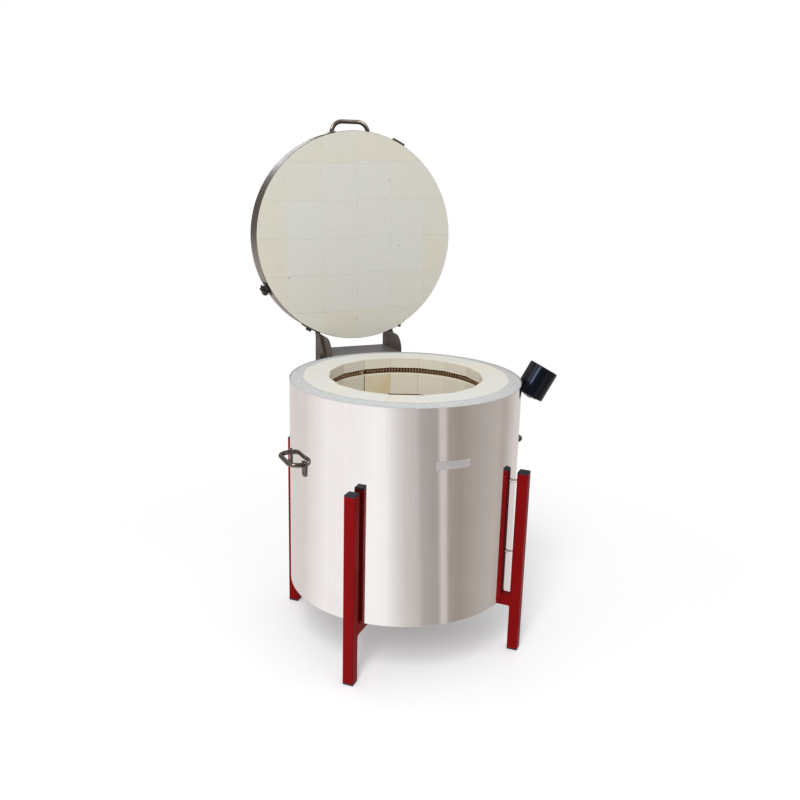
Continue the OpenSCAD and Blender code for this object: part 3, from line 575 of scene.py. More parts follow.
@dataclass(frozen=True)
class RolledMetal(Finish):
    """Metal sheet or bar, with the long faint streaks of its rolling or drawing."""

    light: str
    dark: str
    smooth: float
    rough: float
    streak: Triple
    dents: float = 0.0
    metal: float = 1.0
    wear: str = ""
    wear_reach: float = 1.4
    # Handling marks that break up the streaks: their size, the lift of both, and values from dark to light
    mark: float = 70.0
    mark_lift: float = 0.15
    tones: Pair = (0.2, 0.65)

    def shade(self, tree: Tree, place: Socket) -> dict:
        """Streaks in tone and gloss, a thin cloud of handling marks, and rubbed edges.

        Args:
            tree: The material's node tree.
            place: Object coordinates in metres.

        Returns:
            The surface shader's inputs.
        """
        streaks = self.grain(tree, place, self.streak, detail=3)
        marks = self.grain(tree, place, (self.mark,) * 3, detail=4)
        mixed = add_node(tree, "Math", (streaks, marks, self.mark_lift), operation="MULTIPLY_ADD")
        tone = add_node(tree, "MapRange", (mixed, *self.tones))
        colour = self.layered(tree, srgb(self.dark), (tone, self.light))
        if self.wear:
            worn = self.worn_edges(tree, place, self.wear_reach)
            colour = self.layered(tree, colour, (worn, self.wear))
        gloss = add_node(tree, "MapRange", {"Value": tone, "To Min": self.rough, "To Max": self.smooth})
        surface = {"Base Color": colour, "Roughness": gloss, "Metallic": self.metal}
        if self.dents > 0:
            relief = {"Height": streaks, "Strength": 1.0, "Distance": mm(self.dents)}
            surface["Normal"] = add_node(tree, "Bump", relief)
        return surface


@dataclass(frozen=True)
class CoatedFinish(Finish):
    """Paint, glaze or moulded plastic: an even colour with a fine orange-peel or spark-eroded skin."""

    light: str
    dark: str
    # Colour of the paler edges, partly rubbed wear and partly a painted edge highlight
    worn: str
    roughness: float
    skin: float
    relief: float
    shine: float = 0.5
    wear_reach: float = 1.2
    # Drift of tone: its size, its values from dull to glossy, and the roughness of both as shares
    drift: Triple = (45, 45, 120)
    patches: Pair = (0.3, 0.7)
    dull: float = 1.25
    glossy: float = 0.8

    def shade(self, tree: Tree, place: Socket) -> dict:
        """Slow drift of tone, a fine relief, a few duller patches, and paler edges that are partly rubbed
        wear and partly a painted edge highlight.

        Args:
            tree: The material's node tree.
            place: Object coordinates in metres.

        Returns:
            The surface shader's inputs.
        """
        drift = self.grain(tree, place, self.drift, detail=4)
        # Paler edges: partly rubbed wear, partly a painted edge highlight
        rubbed = self.worn_edges(tree, place, self.wear_reach)
        colour = self.layered(tree, srgb(self.dark), (drift, self.light), (rubbed, self.worn))
        limits = (self.roughness * self.dull, self.roughness * self.glossy)
        gloss = add_node(tree, "MapRange", (drift, *self.patches, *limits))
        pitted = self.grain(tree, place, (self.skin,) * 3, detail=2)
        bump = add_node(tree, "Bump", {"Height": pitted, "Strength": 1.0, "Distance": mm(self.relief)})
        return {"Base Color": colour, "Roughness": gloss, "Specular IOR Level": self.shine, "Normal": bump}


class BrickBond(Enum):
    """How the bricks of a surface are laid."""

    WALL = "wall"
    LID = "lid"
    FLOOR = "floor"


@dataclass(frozen=True)
class FireBrick(Finish):
    """Insulating firebrick: chalky and porous, each brick of its own tone."""

    bond: BrickBond
    cool: str
    warm: str
    pore: str
    # Brick to brick: size, size of the clouds, share and draw of chance, and range of warmth
    cell: float = 106.0
    course: float = 232.0
    cloud: float = 38.0
    luck: float = 0.62
    draw: float = 3.0
    warmth: Pair = (0.35, 1.15)
    # Pores: size, grain from open to sound, tint and depth. Specks: pitch, share of cells without
    # one, largest size as a share of the pitch, and tint
    pore_size: float = 1.6
    pore_open: Pair = (0.30, 0.42)
    pore_tint: float = 0.3
    pore_depth: float = 0.25
    speck_pitch: float = 34.0
    speck_rarity: float = 0.5
    speck_size: float = 0.11
    speck_tint: float = 0.7
    roughness: float = 0.95
    shine: float = 0.2
    # Lid: bricks from the middle and warmth there, share of chance, and depth of the cement
    batch: Pair = (1.4, 2.5)
    batch_warmth: Pair = (0.05, 0.62)
    batch_luck: float = 0.42
    cement: str = "#e2e0d6"
    cement_depth: Pair = (0.1, 0.5)
    # Wall: radius of the hot face, and height and clouds of the stain on the rear bricks
    hot: str = "#e4ddcc"
    hot_face: Pair = (206.0, 204.3)
    stain: str = "#dcc795"
    stain_rise: Pair = (440.0, 415.0)
    stain_cloud: Triple = (60, 60, 90)
    stain_patch: Pair = (0.2, 0.7)
    # Grooves: a painted highlight along their edges, scorched inside, marks of the element ends, and the
    # open joint below them
    lip: str = "#efe6d2"
    lip_highlight_reach: Pair = (5.0, 2.0)
    groove: str = "#8a6b50"
    groove_slack: float = 0.5
    groove_end: str = "#e0c896"
    end_reach: Pair = (11.0, 8.0)
    open_joint: str = "#8f8060"
    joint_reach: Pair = (2.2, 1.0)
    joint_fade: float = 14.0

    def brick_number(self, tree: Tree, place: Socket) -> list[Socket]:
        """Numbers the bricks of the bond.

        Args:
            tree: The material's node tree.
            place: Object coordinates in metres, or those of the shut lid.

        Returns:
            Column and row of the brick at a point.
        """
        x, y, z = add_node(tree, "SeparateXYZ", (place,)).node.outputs
        each = 1 / mm(self.cell)
        if self.bond is BrickBond.WALL:
            front = add_node(tree, "Math", (y, -1.0), operation="MULTIPLY")
            angle = add_node(tree, "Math", (x, front), operation="ARCTAN2")
            lines = (angle, 1 / SIDE_ANGLE, 0.5), (z, 1 / mm(self.course), 0.0)
        elif self.bond is BrickBond.FLOOR:
            lines = (x, each, 0.5), (y, each / 2, 0.5)
        else:
            left = add_node(tree, "Math", (x, mm(LID_BOND.joint_x)), operation="LESS_THAN")
            stepped = add_node(tree, "Math", (left, mm(-LID_BOND.step), y), operation="MULTIPLY_ADD")
            shift_x, shift_y = -LID_BOND.joint_x / self.cell, -LID_BOND.joint_y / self.cell
            lines = (x, each, shift_x), (stepped, each, shift_y)
        along = [add_node(tree, "Math", line, operation="MULTIPLY_ADD") for line in lines]
        return [add_node(tree, "Math", (count,), operation="FLOOR") for count in along]

    def shade(self, tree: Tree, place: Socket) -> dict:
        """Tone per brick, soft clouds, pores and a few dark specks.

        Args:
            tree: The material's node tree.
            place: Object coordinates in metres.

        Returns:
            The surface shader's inputs.
        """
        if self.bond is BrickBond.LID:
            shut = LID_BOND.shut
            turn = {"Vector": place, "Location": shut.translation, "Rotation": shut.to_euler()}
            place = add_node(tree, "Mapping", turn)
        column, row = self.brick_number(tree, place)
        number = add_node(tree, "CombineXYZ", (column, row, self.draw))
        chance = add_node(tree, "TexWhiteNoise", {"Vector": number}, "Value")
        clouds = self.grain(tree, place, (self.cloud,) * 3, detail=5)
        warmth = add_node(tree, "Math", (chance, self.luck, clouds), operation="MULTIPLY_ADD")
        if self.bond is BrickBond.LID:
            warmth = self.sorted_out(tree, number, warmth)
        warm = add_node(tree, "MapRange", (warmth, *self.warmth))
        body = self.layered(tree, srgb(self.cool), (warm, self.warm))
        if self.bond is BrickBond.WALL:
            body = self.fired(tree, place, column, body)
        elif self.bond is BrickBond.LID:
            body = self.pointed(tree, place, body)
        pores = self.grain(tree, place, (self.pore_size,) * 3, detail=3)
        sound = add_node(tree, "MapRange", (pores, *self.pore_open))
        cells = {"Vector": place, "Scale": 1 / mm(self.speck_pitch)}
        spots = add_node(tree, "TexVoronoi", cells).node.outputs
        rare = add_node(tree, "SeparateColor", (spots["Color"],))
        reach = add_node(tree, "MapRange", (rare, self.speck_rarity, 1.0, 0.0, self.speck_size))
        speck = add_node(tree, "Math", (spots["Distance"], reach), operation="LESS_THAN")
        faint = add_node(tree, "Math", (speck, self.speck_tint), operation="MULTIPLY")
        dark = add_node(tree, "MapRange", {"Value": sound, "To Min": self.pore_tint, "To Max": 0.0})
        shade = add_node(tree, "Math", (dark, faint), operation="MAXIMUM")
        relief = {"Height": sound, "Strength": 1.0, "Distance": mm(self.pore_depth)}
        return {
            "Base Color": self.layered(tree, body, (shade, self.pore)),
            "Roughness": self.roughness,
            "Specular IOR Level": self.shine,
            "Normal": add_node(tree, "Bump", relief),
        }

    def sorted_out(self, tree: Tree, number: Socket, chance: Socket) -> Socket:
        """Warmth of the lid's bricks, whose outer ones are cut from a warmer batch.

        Args:
            tree: The material's node tree.
            number: Column and row of the brick.
            chance: Warmth by chance.

        Returns:
            Warmth of the brick.
        """
        middle = add_node(tree, "VectorMath", (number, (0.5, 0.5, -self.draw)), operation="ADD")
        away = add_node(tree, "VectorMath", (middle,), "Value", operation="LENGTH")
        outer = add_node(tree, "MapRange", (away, *self.batch, *self.batch_warmth))
        return add_node(tree, "Math", (chance, self.batch_luck, outer), operation="MULTIPLY_ADD")

    def pointed(self, tree: Tree, place: Socket, body: Socket) -> Socket:
        """White cement in the joints of the lid's face.

        Args:
            tree: The material's node tree.
            place: Coordinates on the shut lid, in metres.
            body: Brick colour.

        Returns:
            The colour of brick and cement.
        """
        height = add_node(tree, "SeparateXYZ", (place,), 2)
        face = min(point.z for point in LID_BOND.closed("lid_bricks"))
        deep = add_node(tree, "MapRange", (height, *(face + mm(depth) for depth in self.cement_depth)))
        return self.layered(tree, body, (deep, self.cement))

    def fired(self, tree: Tree, place: Socket, column: Socket, body: Socket) -> Socket:
        """Warmer hot face of the wall, with a stain on the brick beside the element ends.

        Args:
            tree: The material's node tree.
            place: Object coordinates in metres.
            column: Column of the brick.
            body: Clean brick colour.

        Returns:
            The brick colour after many firings.
        """
        x, y, z = add_node(tree, "SeparateXYZ", (place,)).node.outputs
        flat = add_node(tree, "CombineXYZ", (x, y))
        radius = add_node(tree, "VectorMath", (flat,), "Value", operation="LENGTH")
        hot = add_node(tree, "MapRange", (radius, *map(mm, self.hot_face)))
        away = add_node(tree, "Math", (column,), operation="ABSOLUTE")
        rear = add_node(tree, "Math", (away, SIDES / 2 - 0.5), operation="GREATER_THAN")
        below = add_node(tree, "MapRange", (z, *map(mm, self.stain_rise)))
        clouds = self.grain(tree, place, self.stain_cloud, detail=3)
        patch = add_node(tree, "MapRange", (clouds, *self.stain_patch))
        spread = add_node(tree, "Math", (below, patch), operation="MULTIPLY")
        amount = add_node(tree, "Math", (rear, spread), operation="MULTIPLY")
        stained = self.layered(tree, body, (hot, self.hot), (amount, self.stain))
        return self.grooved(tree, place, hot, stained)

    def grooved(self, tree: Tree, place: Socket, hot: Socket, body: Socket) -> Socket:
        """A painted highlight along the edges of the scorched grooves, and marks where the elements leave
        the wall.

        Args:
            tree: The material's node tree.
            place: Object coordinates in metres.
            hot: Share of the hot face, 0 inside the grooves.
            body: Brick colour.

        Returns:
            The brick colour with the marks of the elements.
        """
        height = add_node(tree, "SeparateXYZ", (place,), 2)
        first, reach, half = GROOVES.first, GROOVES.pitch / 2, GROOVES.half
        row = add_node(tree, "Math", (height, first + reach, first - reach), operation="WRAP")
        off = add_node(tree, "Math", (row, first), operation="SUBTRACT")
        away = add_node(tree, "Math", (off,), operation="ABSOLUTE")
        # Painted highlight: a paler cream line along each groove's edges, where they catch the light
        edge = add_node(tree, "MapRange", (away, *(half + mm(width) for width in self.lip_highlight_reach)))
        lip_highlight = add_node(tree, "Math", (edge, hot), operation="MULTIPLY")
        within = add_node(tree, "Math", (away, half + mm(self.groove_slack)), operation="LESS_THAN")
        inside = add_node(tree, "Math", (1.0, hot), operation="SUBTRACT")
        pocket = add_node(tree, "Math", (inside, within), operation="MULTIPLY")
        turn = add_node(tree, "Mapping", {"Vector": place, "Rotation": (0, 0, -GROOVES.leads)})
        across, along = add_node(tree, "SeparateXYZ", (turn,)).node.outputs[:2]
        aside = add_node(tree, "Math", (across,), operation="ABSOLUTE")
        there = add_node(tree, "Math", (along, 0.0), operation="LESS_THAN")
        beside = add_node(tree, "MapRange", (aside, *map(mm, self.end_reach)))
        end = add_node(tree, "Math", (beside, pocket), operation="MULTIPLY")
        spot = add_node(tree, "Math", (end, there), operation="MULTIPLY")
        narrow = add_node(tree, "MapRange", (aside, *map(mm, self.joint_reach)))
        line = add_node(tree, "Math", (narrow, there), operation="MULTIPLY")
        under = add_node(tree, "MapRange", (height, first, first - mm(self.joint_fade)))
        joint = add_node(tree, "Math", (line, under), operation="MULTIPLY")
        faced = add_node(tree, "Math", (joint, hot), operation="MULTIPLY")
        brick = self.layered(tree, body, (lip_highlight, self.lip), (pocket, self.groove))
        return self.layered(tree, brick, (spot, self.groove_end), (faced, self.open_joint))


@dataclass(frozen=True)
class FeltedFibre(Finish):
    """Ceramic fibre blanket: white felt with short tangled fibres over soft lumps."""

    light: str
    dark: str
    relief: float
    lump: float = 16.0
    fibre: float = 1.5
    tones: Pair = (0.1, 0.4)
    shine: float = 0.1

    def shade(self, tree: Tree, place: Socket) -> dict:
        """Tangled fibres over soft lumps.

        Args:
            tree: The material's node tree.
            place: Object coordinates in metres.

        Returns:
            The surface shader's inputs.
        """
        lumps = self.grain(tree, place, (self.lump,) * 3, detail=4)
        tangle = self.grain(tree, place, (self.fibre,) * 3, detail=4)
        both = add_node(tree, "Math", (lumps, tangle), operation="MULTIPLY")
        tone = add_node(tree, "MapRange", (both, *self.tones))
        colour = self.layered(tree, srgb(self.dark), (tone, self.light))
        bump = add_node(tree, "Bump", {"Height": both, "Strength": 1.0, "Distance": mm(self.relief)})
        return {"Base Color": colour, "Roughness": 1.0, "Specular IOR Level": self.shine, "Normal": bump}


@dataclass(frozen=True)
class FiredWire(Finish):
    """Heating wire with a dull oxide skin, powdery and pale on its hot side with a painted highlight
    there, and painted shade on its far side.
    """

    # Colours of the side towards the chamber, pale oxide with a painted highlight, and of the far side,
    # near black with painted shade
    front: str
    back: str
    # Radii between which the pale front, partly a painted highlight, turns into the painted shade of the
    # back, size of the scale, its rags at the turn, its depth
    turn: Pair
    flake: float = 5.0
    ragged: float = 5.0
    relief: float = 0.15
    roughness: float = 0.75
    shine: float = 0.25

    def shade(self, tree: Tree, place: Socket) -> dict:
        """Pale oxide and a painted highlight towards the chamber, painted shade on the far side, and a
        scaly skin.

        Args:
            tree: The material's node tree.
            place: Object coordinates in metres.

        Returns:
            The surface shader's inputs.
        """
        flat = add_node(tree, "VectorMath", (place, (1, 1, 0)), operation="MULTIPLY")
        radius = add_node(tree, "VectorMath", (flat,), "Value", operation="LENGTH")
        scale = self.grain(tree, place, (self.flake,) * 3, detail=3)
        uneven = add_node(tree, "Math", (scale, mm(self.ragged), radius), operation="MULTIPLY_ADD")
        # Share of painted shade, which turns the wire near black on its far side from the chamber
        painted_shade_share = add_node(tree, "MapRange", (uneven, *map(mm, self.turn)))
        relief = {"Height": scale, "Strength": 1.0, "Distance": mm(self.relief)}
        return {
            "Base Color": self.layered(tree, srgb(self.front), (painted_shade_share, self.back)),
            "Roughness": self.roughness,
            "Specular IOR Level": self.shine,
            "Normal": add_node(tree, "Bump", relief),
        }


# Metals, whose streaks of rolling, drawing and brushing are too fine to show and are drawn coarser
# Stainless sheet, polished: a clear mirror with a trace of its rolling streaks
POLISHED = RolledMetal(
    "polished_stainless_sheet", "#f7f6f6", "#efedec", smooth=0.035, rough=0.07, streak=(3.5, 3.5, 900)
)
# The same steel as bent bar, drawn and buffed, with a soft sheen along the bar; its darker tone is a
# painted dim reflection
BUFFED = RolledMetal(
    "buffed_stainless_bar", "#aaa59b", "#858077", smooth=0.12, rough=0.2, streak=(9, 1.5, 9)
)
# Side handles: steel whose sharp highlights come from their own lamps, its dark tone a painted dim
# reflection
DIM_HANDLE_STEEL = RolledMetal(
    "handle_steel_painted_dim", "#8a827a", "#5c554f", smooth=0.1, rough=0.18, streak=(9, 9, 1.5)
)
# Stainless band of the lid, drawn round it, which blurs what it mirrors; its brownish grey, far darker
# than the jacket's steel, is a painted dim reflection
BANDED = RolledMetal(
    "drawn_stainless_band", "#968b7e", "#786f64", smooth=0.24, rough=0.36, streak=(160, 4, 4)
)
# Stainless sheet of the lid's cover, brushed one way: a pale satin with fine lines
BRUSHED = RolledMetal(
    "brushed_stainless_sheet", "#cfccc8", "#b5b1ac", smooth=0.22, rough=0.34, streak=(160, 2, 2)
)
# Turned brass of the element clamps: warm yellow with fine lines from the tool
TURNED_BRASS = RolledMetal(
    "turned_brass", "#c9a25a", "#b08a45", smooth=0.2, rough=0.3, streak=(1, 20, 20)
)
# Satin aluminium of the bare plate: pale and soft, without a clear reflection
SATIN_PLATE = RolledMetal(
    "satin_aluminium", "#e4e1e2", "#cbc8c9", smooth=0.3, rough=0.42, streak=(40, 40, 1.2), metal=0.6
)
# Hot rolled plate with its brown mill skin: dull and mottled, rubbed bright at its edges
MILL_PLATE = RolledMetal(
    "hot_rolled_plate", "#64564b", "#463c35", smooth=0.42, rough=0.6, streak=(30, 30, 30),
    dents=0.05, metal=0.2, wear="#857a72",
)
# Zinc plated steel: cool grey with a soft sheen
ZINC = RolledMetal(
    "zinc_plated_steel", "#adaeb0", "#909194", smooth=0.3, rough=0.45, streak=(12, 12, 12),
    dents=0.02, metal=0.7, wear="#bcbdbf",
)
# Oiled black steel of clamps and bolts: almost black, with a dull sheen
BLACKED = RolledMetal(
    "blacked_steel", "#4d4a48", "#353331", smooth=0.35, rough=0.5, streak=(12, 12, 12),
    dents=0.03, metal=0.5, wear="#6f6b68",
)
# Powder coat on tube: deep red with orange peel and low gloss, its edges paler, partly rubbed and partly a
# painted edge highlight
RED_COAT = CoatedFinish(
    "red_powder_coat", "#8a0a0c", "#7a080a", "#a02023", roughness=0.4, skin=1.8, relief=0.02, shine=0.05
)
# Moulded plugs and feet: black polythene with a matt skin
BLACK_PLUG = CoatedFinish(
    "black_polythene", "#2b2e38", "#20222a", "#40444f", roughness=0.42, skin=0.9, relief=0.02, shine=0.3
)
# Moulded housing: blue-black phenolic with a deep gloss
BLACK_GLOSS = CoatedFinish(
    "black_moulded_phenolic", "#0a0f19", "#06090f", "#171d29",
    roughness=0.16, skin=2.4, relief=0.003, shine=0.28,
)
# Fired porcelain of the bushes and the sheath: cream white with an even half gloss
PORCELAIN = CoatedFinish(
    "fired_porcelain", "#efe9dc", "#e2dac9", "#f4efe4", roughness=0.35, skin=3.0, relief=0.01
)
# Insulating firebrick of the walls, the lid and the floor: chalky, with pores drawn coarser so that
# they show
WALL_BRICK = FireBrick(
    "firebrick_wall", BrickBond.WALL, "#e2e3df", "#e9e1cb", "#b9b09c", cloud=90.0, luck=0.3
)
LID_BRICK = FireBrick("firebrick_lid", BrickBond.LID, "#cdcdc6", "#cfcaba", "#a8a08c")
FLOOR_BRICK = FireBrick("firebrick_floor", BrickBond.FLOOR, "#e0d8c4", "#d8cbac", "#a8987a")
# Ceramic fibre blanket and board: a cool white felt, with fibres drawn coarser so that they show
BLANKET = FeltedFibre("ceramic_fibre_blanket", "#d0d1ce", "#bfc2c1", relief=0.6)
# Heating wire after many firings: dull brown oxide, paler with a painted highlight where it faces the
# chamber, and near black with painted shade on its far side
WIRE_OXIDE_PAINTED_SHADE = FiredWire("heating_wire_oxide_painted_shade", "#d2a67c", "#1e130d", turn=(205.0, 209.0))


def dress(piece: Piece, finish: Finish, body: Body, stands_for: Sequence[str] = ()) -> Piece:
    """Gives a piece its finish and its place in the frame.

    Args:
        piece: The finished mesh.
        finish: The piece's finish.
        body: The body that it rides on.
        stands_for: Solids of the frame that it stands for.

    Returns:
        The piece.
    """
    piece.data.materials.clear()
    piece.data.materials.append(finish.material())
    for face in piece.data.polygons:
        face.material_index = 0
    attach(piece, body.value)
    if stands_for:
        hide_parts(*stands_for)
    log.info("%s: %s, %d faces", piece.name, finish.name, len(piece.data.polygons))
    return piece


@dataclass(frozen=True)
class Coat:
    """Solids of the frame that share a finish and a rounding of their edges."""

    nodes: tuple[str, ...]
    finish: Finish
    slot: Slot
    edge: float
    body: Body = Body.KILN

    def apply(self) -> list[Piece]:
        """Softens each solid and dresses it.

        Returns:
            The dressed pieces.
        """
        return [
            dress(softened(node, self.edge), self.finish, self.body, [node]) for node in self.nodes
        ]


@dataclass
class Casing:
    """Polished jacket with its lap seam, its base pan and the fibre blanket inside."""

    sheet: float = 1.0
    steps: int = 360
    # Lap seam, kept short of the jacket's edges, and its rivets
    seam_azimuth: float = 151.0
    seam_width: float = 4.2
    seam_sheet: float = 0.7
    seam_inset: float = 1.0
    rivets: int = 9
    rivet_radius: float = 3.2
    rivet_inset: float = 20.0
    rivet_flatness: float = 0.5
    # Blanket: its gap to sheet and bricks, its brim, and the fluff over the brick corners
    slack: float = 0.1
    brim_drop: float = 0.6
    brim_edge: float = 3.0
    crown: float = 0.9
    brow_steps: int = 16
    hollow: float = 1.1
    hollow_place: float = 0.45
    hollow_sharpness: float = 14.0
    lip_rise: float = 0.16
    lip_cover: float = 2.2
    # Wander of the lip: its size, the power that keeps it to the lip, and its waves with their phases
    lip_wander: float = 0.45
    lip_bias: int = 6
    waves: tuple[Pair, ...] = ((23, 0), (61, 2), (139, 4))
    # Rumples of the brim: their size and height, and the least share of them at the lip
    rumple: float = 14.0
    rumple_height: float = 2.0
    rumple_least: float = 0.04

    def __post_init__(self) -> None:
        """Reads the jacket's and the brick wall's sizes from the frame."""
        low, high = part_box("casing")
        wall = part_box("wall_bricks_upper")[1]
        self.radius = high.x * 1000
        self.bottom = low.z * 1000
        self.top = high.z * 1000
        self.outer = self.radius - self.sheet - self.slack
        self.inner = wall.x * 1000 + self.slack
        self.brim = self.top - self.brim_drop
        self.crest = wall.z * 1000 + self.lip_rise

    def build(self) -> None:
        """Models the jacket, its seam and the blanket."""
        jacket = sheet_ring("casing_sheet", self.radius, (self.bottom, self.top), self.sheet, self.steps)
        dress(smooth(jacket), POLISHED, Body.KILN, ["casing"])
        dress(self.seam(), POLISHED, Body.KILN)
        dress(self.seam_rivets(), ZINC, Body.KILN)
        dress(self.blanket(), BLANKET, Body.KILN, ["fibre_jacket"])
        Coat(("base_board",), BLANKET, Slot.FIBRE, edge=0.8).apply()
        Coat(("base_pan",), ZINC, Slot.PLAIN, edge=0.3).apply()

    def seam(self) -> Piece:
        """Lap of the rolled sheet.

        Returns:
            The strip of sheet that laps over the other end.
        """
        span = (self.seam_azimuth - self.seam_width / 2, self.seam_azimuth + self.seam_width / 2)
        rise = (self.bottom + self.seam_inset, self.top - self.seam_inset)
        return shell_patch("casing_lap_seam", self.radius, span, rise, self.seam_sheet)

    def seam_rivets(self) -> Piece:
        """Row of dome rivets down the seam.

        Returns:
            The rivets as one piece.
        """
        clear_selection()
        bpy.ops.mesh.primitive_uv_sphere_add(segments=16, ring_count=8, radius=mm(self.rivet_radius))
        dome = bpy.context.object
        with editing(dome, Pick.FACE):
            bpy.ops.mesh.bisect(plane_co=(0, 0, 0), plane_no=(0, 0, 1), use_fill=True, clear_inner=True)
            bpy.ops.mesh.select_all(action="SELECT")
            bpy.ops.transform.resize(value=(1, 1, self.rivet_flatness), center_override=(0, 0, 0))
        way = outward(math.radians(self.seam_azimuth))
        foot = mm(self.radius + self.seam_sheet) * way
        pitch = (self.top - self.bottom - 2 * self.rivet_inset) / (self.rivets - 1)
        rises = [self.bottom + self.rivet_inset + pitch * i for i in range(self.rivets)]
        places = [facing(foot + Vector((0, 0, mm(rise))), way) for rise in rises]
        return repeated("casing_seam_rivets", dome, places)

    def blanket_outline(self) -> list[Pair]:
        """Section of the blanket, its top crowned and hollowed between the jacket and the bricks.

        Returns:
            Radius and height of each point, in millimetres.
        """
        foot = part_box("fibre_jacket")[0].z * 1000
        shoulder = self.outer - self.brim_edge
        lip = self.inner + self.lip_cover
        outline = [(self.outer, foot), (self.outer, self.brim - self.brim_edge)]
        outline += arc((shoulder, self.brim - self.brim_edge), self.brim_edge, 20, 70, 3)
        for i in range(self.brow_steps + 1):
            across = i / self.brow_steps
            rise = (self.crest - self.brim) * across ** 2 * (3 - 2 * across)
            swell = self.crown * math.sin(math.pi * across)
            dip = self.hollow * math.exp(-(((across - self.hollow_place) * self.hollow_sharpness) ** 2))
            outline.append((shoulder - (shoulder - lip) * across, self.brim + swell + rise - dip))
        under = self.crest - self.lip_rise / 2
        return outline + [(lip, under), (self.inner, under), (self.inner, foot)]

    def blanket(self) -> Piece:
        """Blanket between bricks and jacket, its upper edge soft and fluffed over the brick corners.

        Returns:
            The blanket, hollow to the shape of the brick wall.
        """
        piece = turned("fibre_blanket", self.blanket_outline(), self.steps)
        outer, inner = mm(self.outer), mm(self.inner)
        soft = piece.vertex_groups.new(name="brim")
        for vertex in piece.data.vertices:
            radius = math.hypot(vertex.co.x, vertex.co.y)
            azimuth = math.atan2(vertex.co.x, -vertex.co.y)
            turn = (azimuth + SIDE_ANGLE / 2) % SIDE_ANGLE - SIDE_ANGLE / 2
            share = (outer - radius) / (outer - inner)
            if radius < inner + WELD:
                wanted = outer - (outer - inner / math.cos(turn)) * share
            else:
                wander = sum(math.sin(count * azimuth + phase) for count, phase in self.waves)
                wanted = radius + mm(self.lip_wander) * wander * share ** self.lip_bias
            vertex.co.x *= wanted / radius
            vertex.co.y *= wanted / radius
            if vertex.co.z > mm(self.brim - self.brim_edge / 2):
                soft.add([vertex.index], max(1 - share, self.rumple_least), "REPLACE")
        rumple = piece.modifiers.new("rumple", "DISPLACE")
        rumple.texture = bpy.data.textures.new("blanket_lumps", "CLOUDS")
        rumple.texture.noise_scale = mm(self.rumple)
        rumple.direction = "Z"
        rumple.strength = mm(self.rumple_height)
        rumple.vertex_group = soft.name
        apply_modifiers(piece)
        return smooth(piece)


@dataclass(frozen=True)
class Winding:
    """How an element is wound: its curls, the points in a curl, and the wire's diameter."""

    curls: int
    steps: int
    wire: float


@dataclass
class Chamber:
    """Brick chamber with its wound heating elements and the probe."""

    # The real curls are too fine to show, so the elements are wound coarser, in thicker wire
    top: Winding = Winding(150, 12, 2.9)
    lower: Winding = Winding(200, 8, 2.4)
    # Gap between an element's ends, length of the ends, and how far the coil stands up out of its solid
    split: float = 4.0
    tail: float = 5.6
    fuller: float = 1.2

    def __post_init__(self) -> None:
        """Reads the places of the elements from the frame."""
        low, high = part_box("heating_coil_top")
        row_low, row_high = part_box("heating_coils_lower")
        self.coil_radius = (high.z - low.z) * 500
        self.top_z = (high.z + low.z) * 500
        self.ring_radius = high.x * 1000 - self.coil_radius
        first = row_low.z * 1000 + self.coil_radius
        last = row_high.z * 1000 - self.coil_radius
        self.row_heights = [first + (last - first) * i / (LOWER_ROWS - 1) for i in range(LOWER_ROWS)]

    def build(self) -> None:
        """Models the elements and dresses the bricks."""
        top = self.wound_element("element_coil_top", self.top_z, self.top)
        dress(top, WIRE_OXIDE_PAINTED_SHADE, Body.KILN, ["heating_coil_top"])
        heights = enumerate(self.row_heights)
        rows = [self.wound_element(f"element_row_{i}", height, self.lower) for i, height in heights]
        lower = joined("element_coils_lower", rows)
        dress(lower, WIRE_OXIDE_PAINTED_SHADE, Body.KILN, ["heating_coils_lower"])
        Coat(("wall_bricks_lower", "wall_bricks_upper"), WALL_BRICK, Slot.BRICK, edge=0.3).apply()
        Coat(("floor_bricks",), FLOOR_BRICK, Slot.BRICK, edge=0.4).apply()
        Coat(("thermocouple_sheath", "lead_bushes"), PORCELAIN, Slot.PORCELAIN, edge=0.6).apply()
        Coat(("thermocouple_head",), ZINC, Slot.PLAIN, edge=0.5).apply()
        Coat(("element_leads",), WIRE_OXIDE_PAINTED_SHADE, Slot.WIRE, edge=0.3).apply()
        Coat(("element_clamps",), TURNED_BRASS, Slot.BRASS, edge=0.5).apply()

    def wound_element(self, name: str, height: float, winding: Winding) -> Piece:
        """Winds one element round the chamber, its ends turned out to the leads.

        Args:
            name: Name of the piece.
            height: Height of the coil's middle in millimetres.
            winding: How it is wound.

        Returns:
            The wound wire as a mesh.
        """
        steps = winding.steps
        mean = self.coil_radius - winding.wire / 2 + self.fuller
        count = winding.curls * steps + steps // 2
        first = math.radians(LEAD_AZIMUTH + self.split / 2)
        sweep = 2 * math.pi - math.radians(self.split)
        points = []
        for i in range(count + 1):
            turn = math.pi / 2 + 2 * math.pi * i / steps
            reach = self.ring_radius + mean * math.cos(turn)
            rise = height + self.fuller + mean * math.sin(turn)
            points.append(mm(reach) * outward(first + sweep * i / count) + Vector((0, 0, mm(rise))))
        points.insert(0, points[0] + mm(self.tail) * outward(first))
        points.append(points[-1] + mm(self.tail) * outward(first + sweep))
        line = bpy.data.curves.new(name, "CURVE")
        line.dimensions = "3D"
        line.bevel_depth = mm(winding.wire / 2)
        line.bevel_resolution = 1
        line.use_fill_caps = True
        spline = line.splines.new("POLY")
        spline.points.add(len(points) - 1)
        for place, point in zip(spline.points, points):
            place.co = (*point, 1.0)
        piece = bpy.data.objects.new(name, line)
        bpy.context.scene.collection.objects.link(piece)
        activate(piece)
        bpy.ops.object.convert(target="MESH")
        return smooth(bpy.context.object)


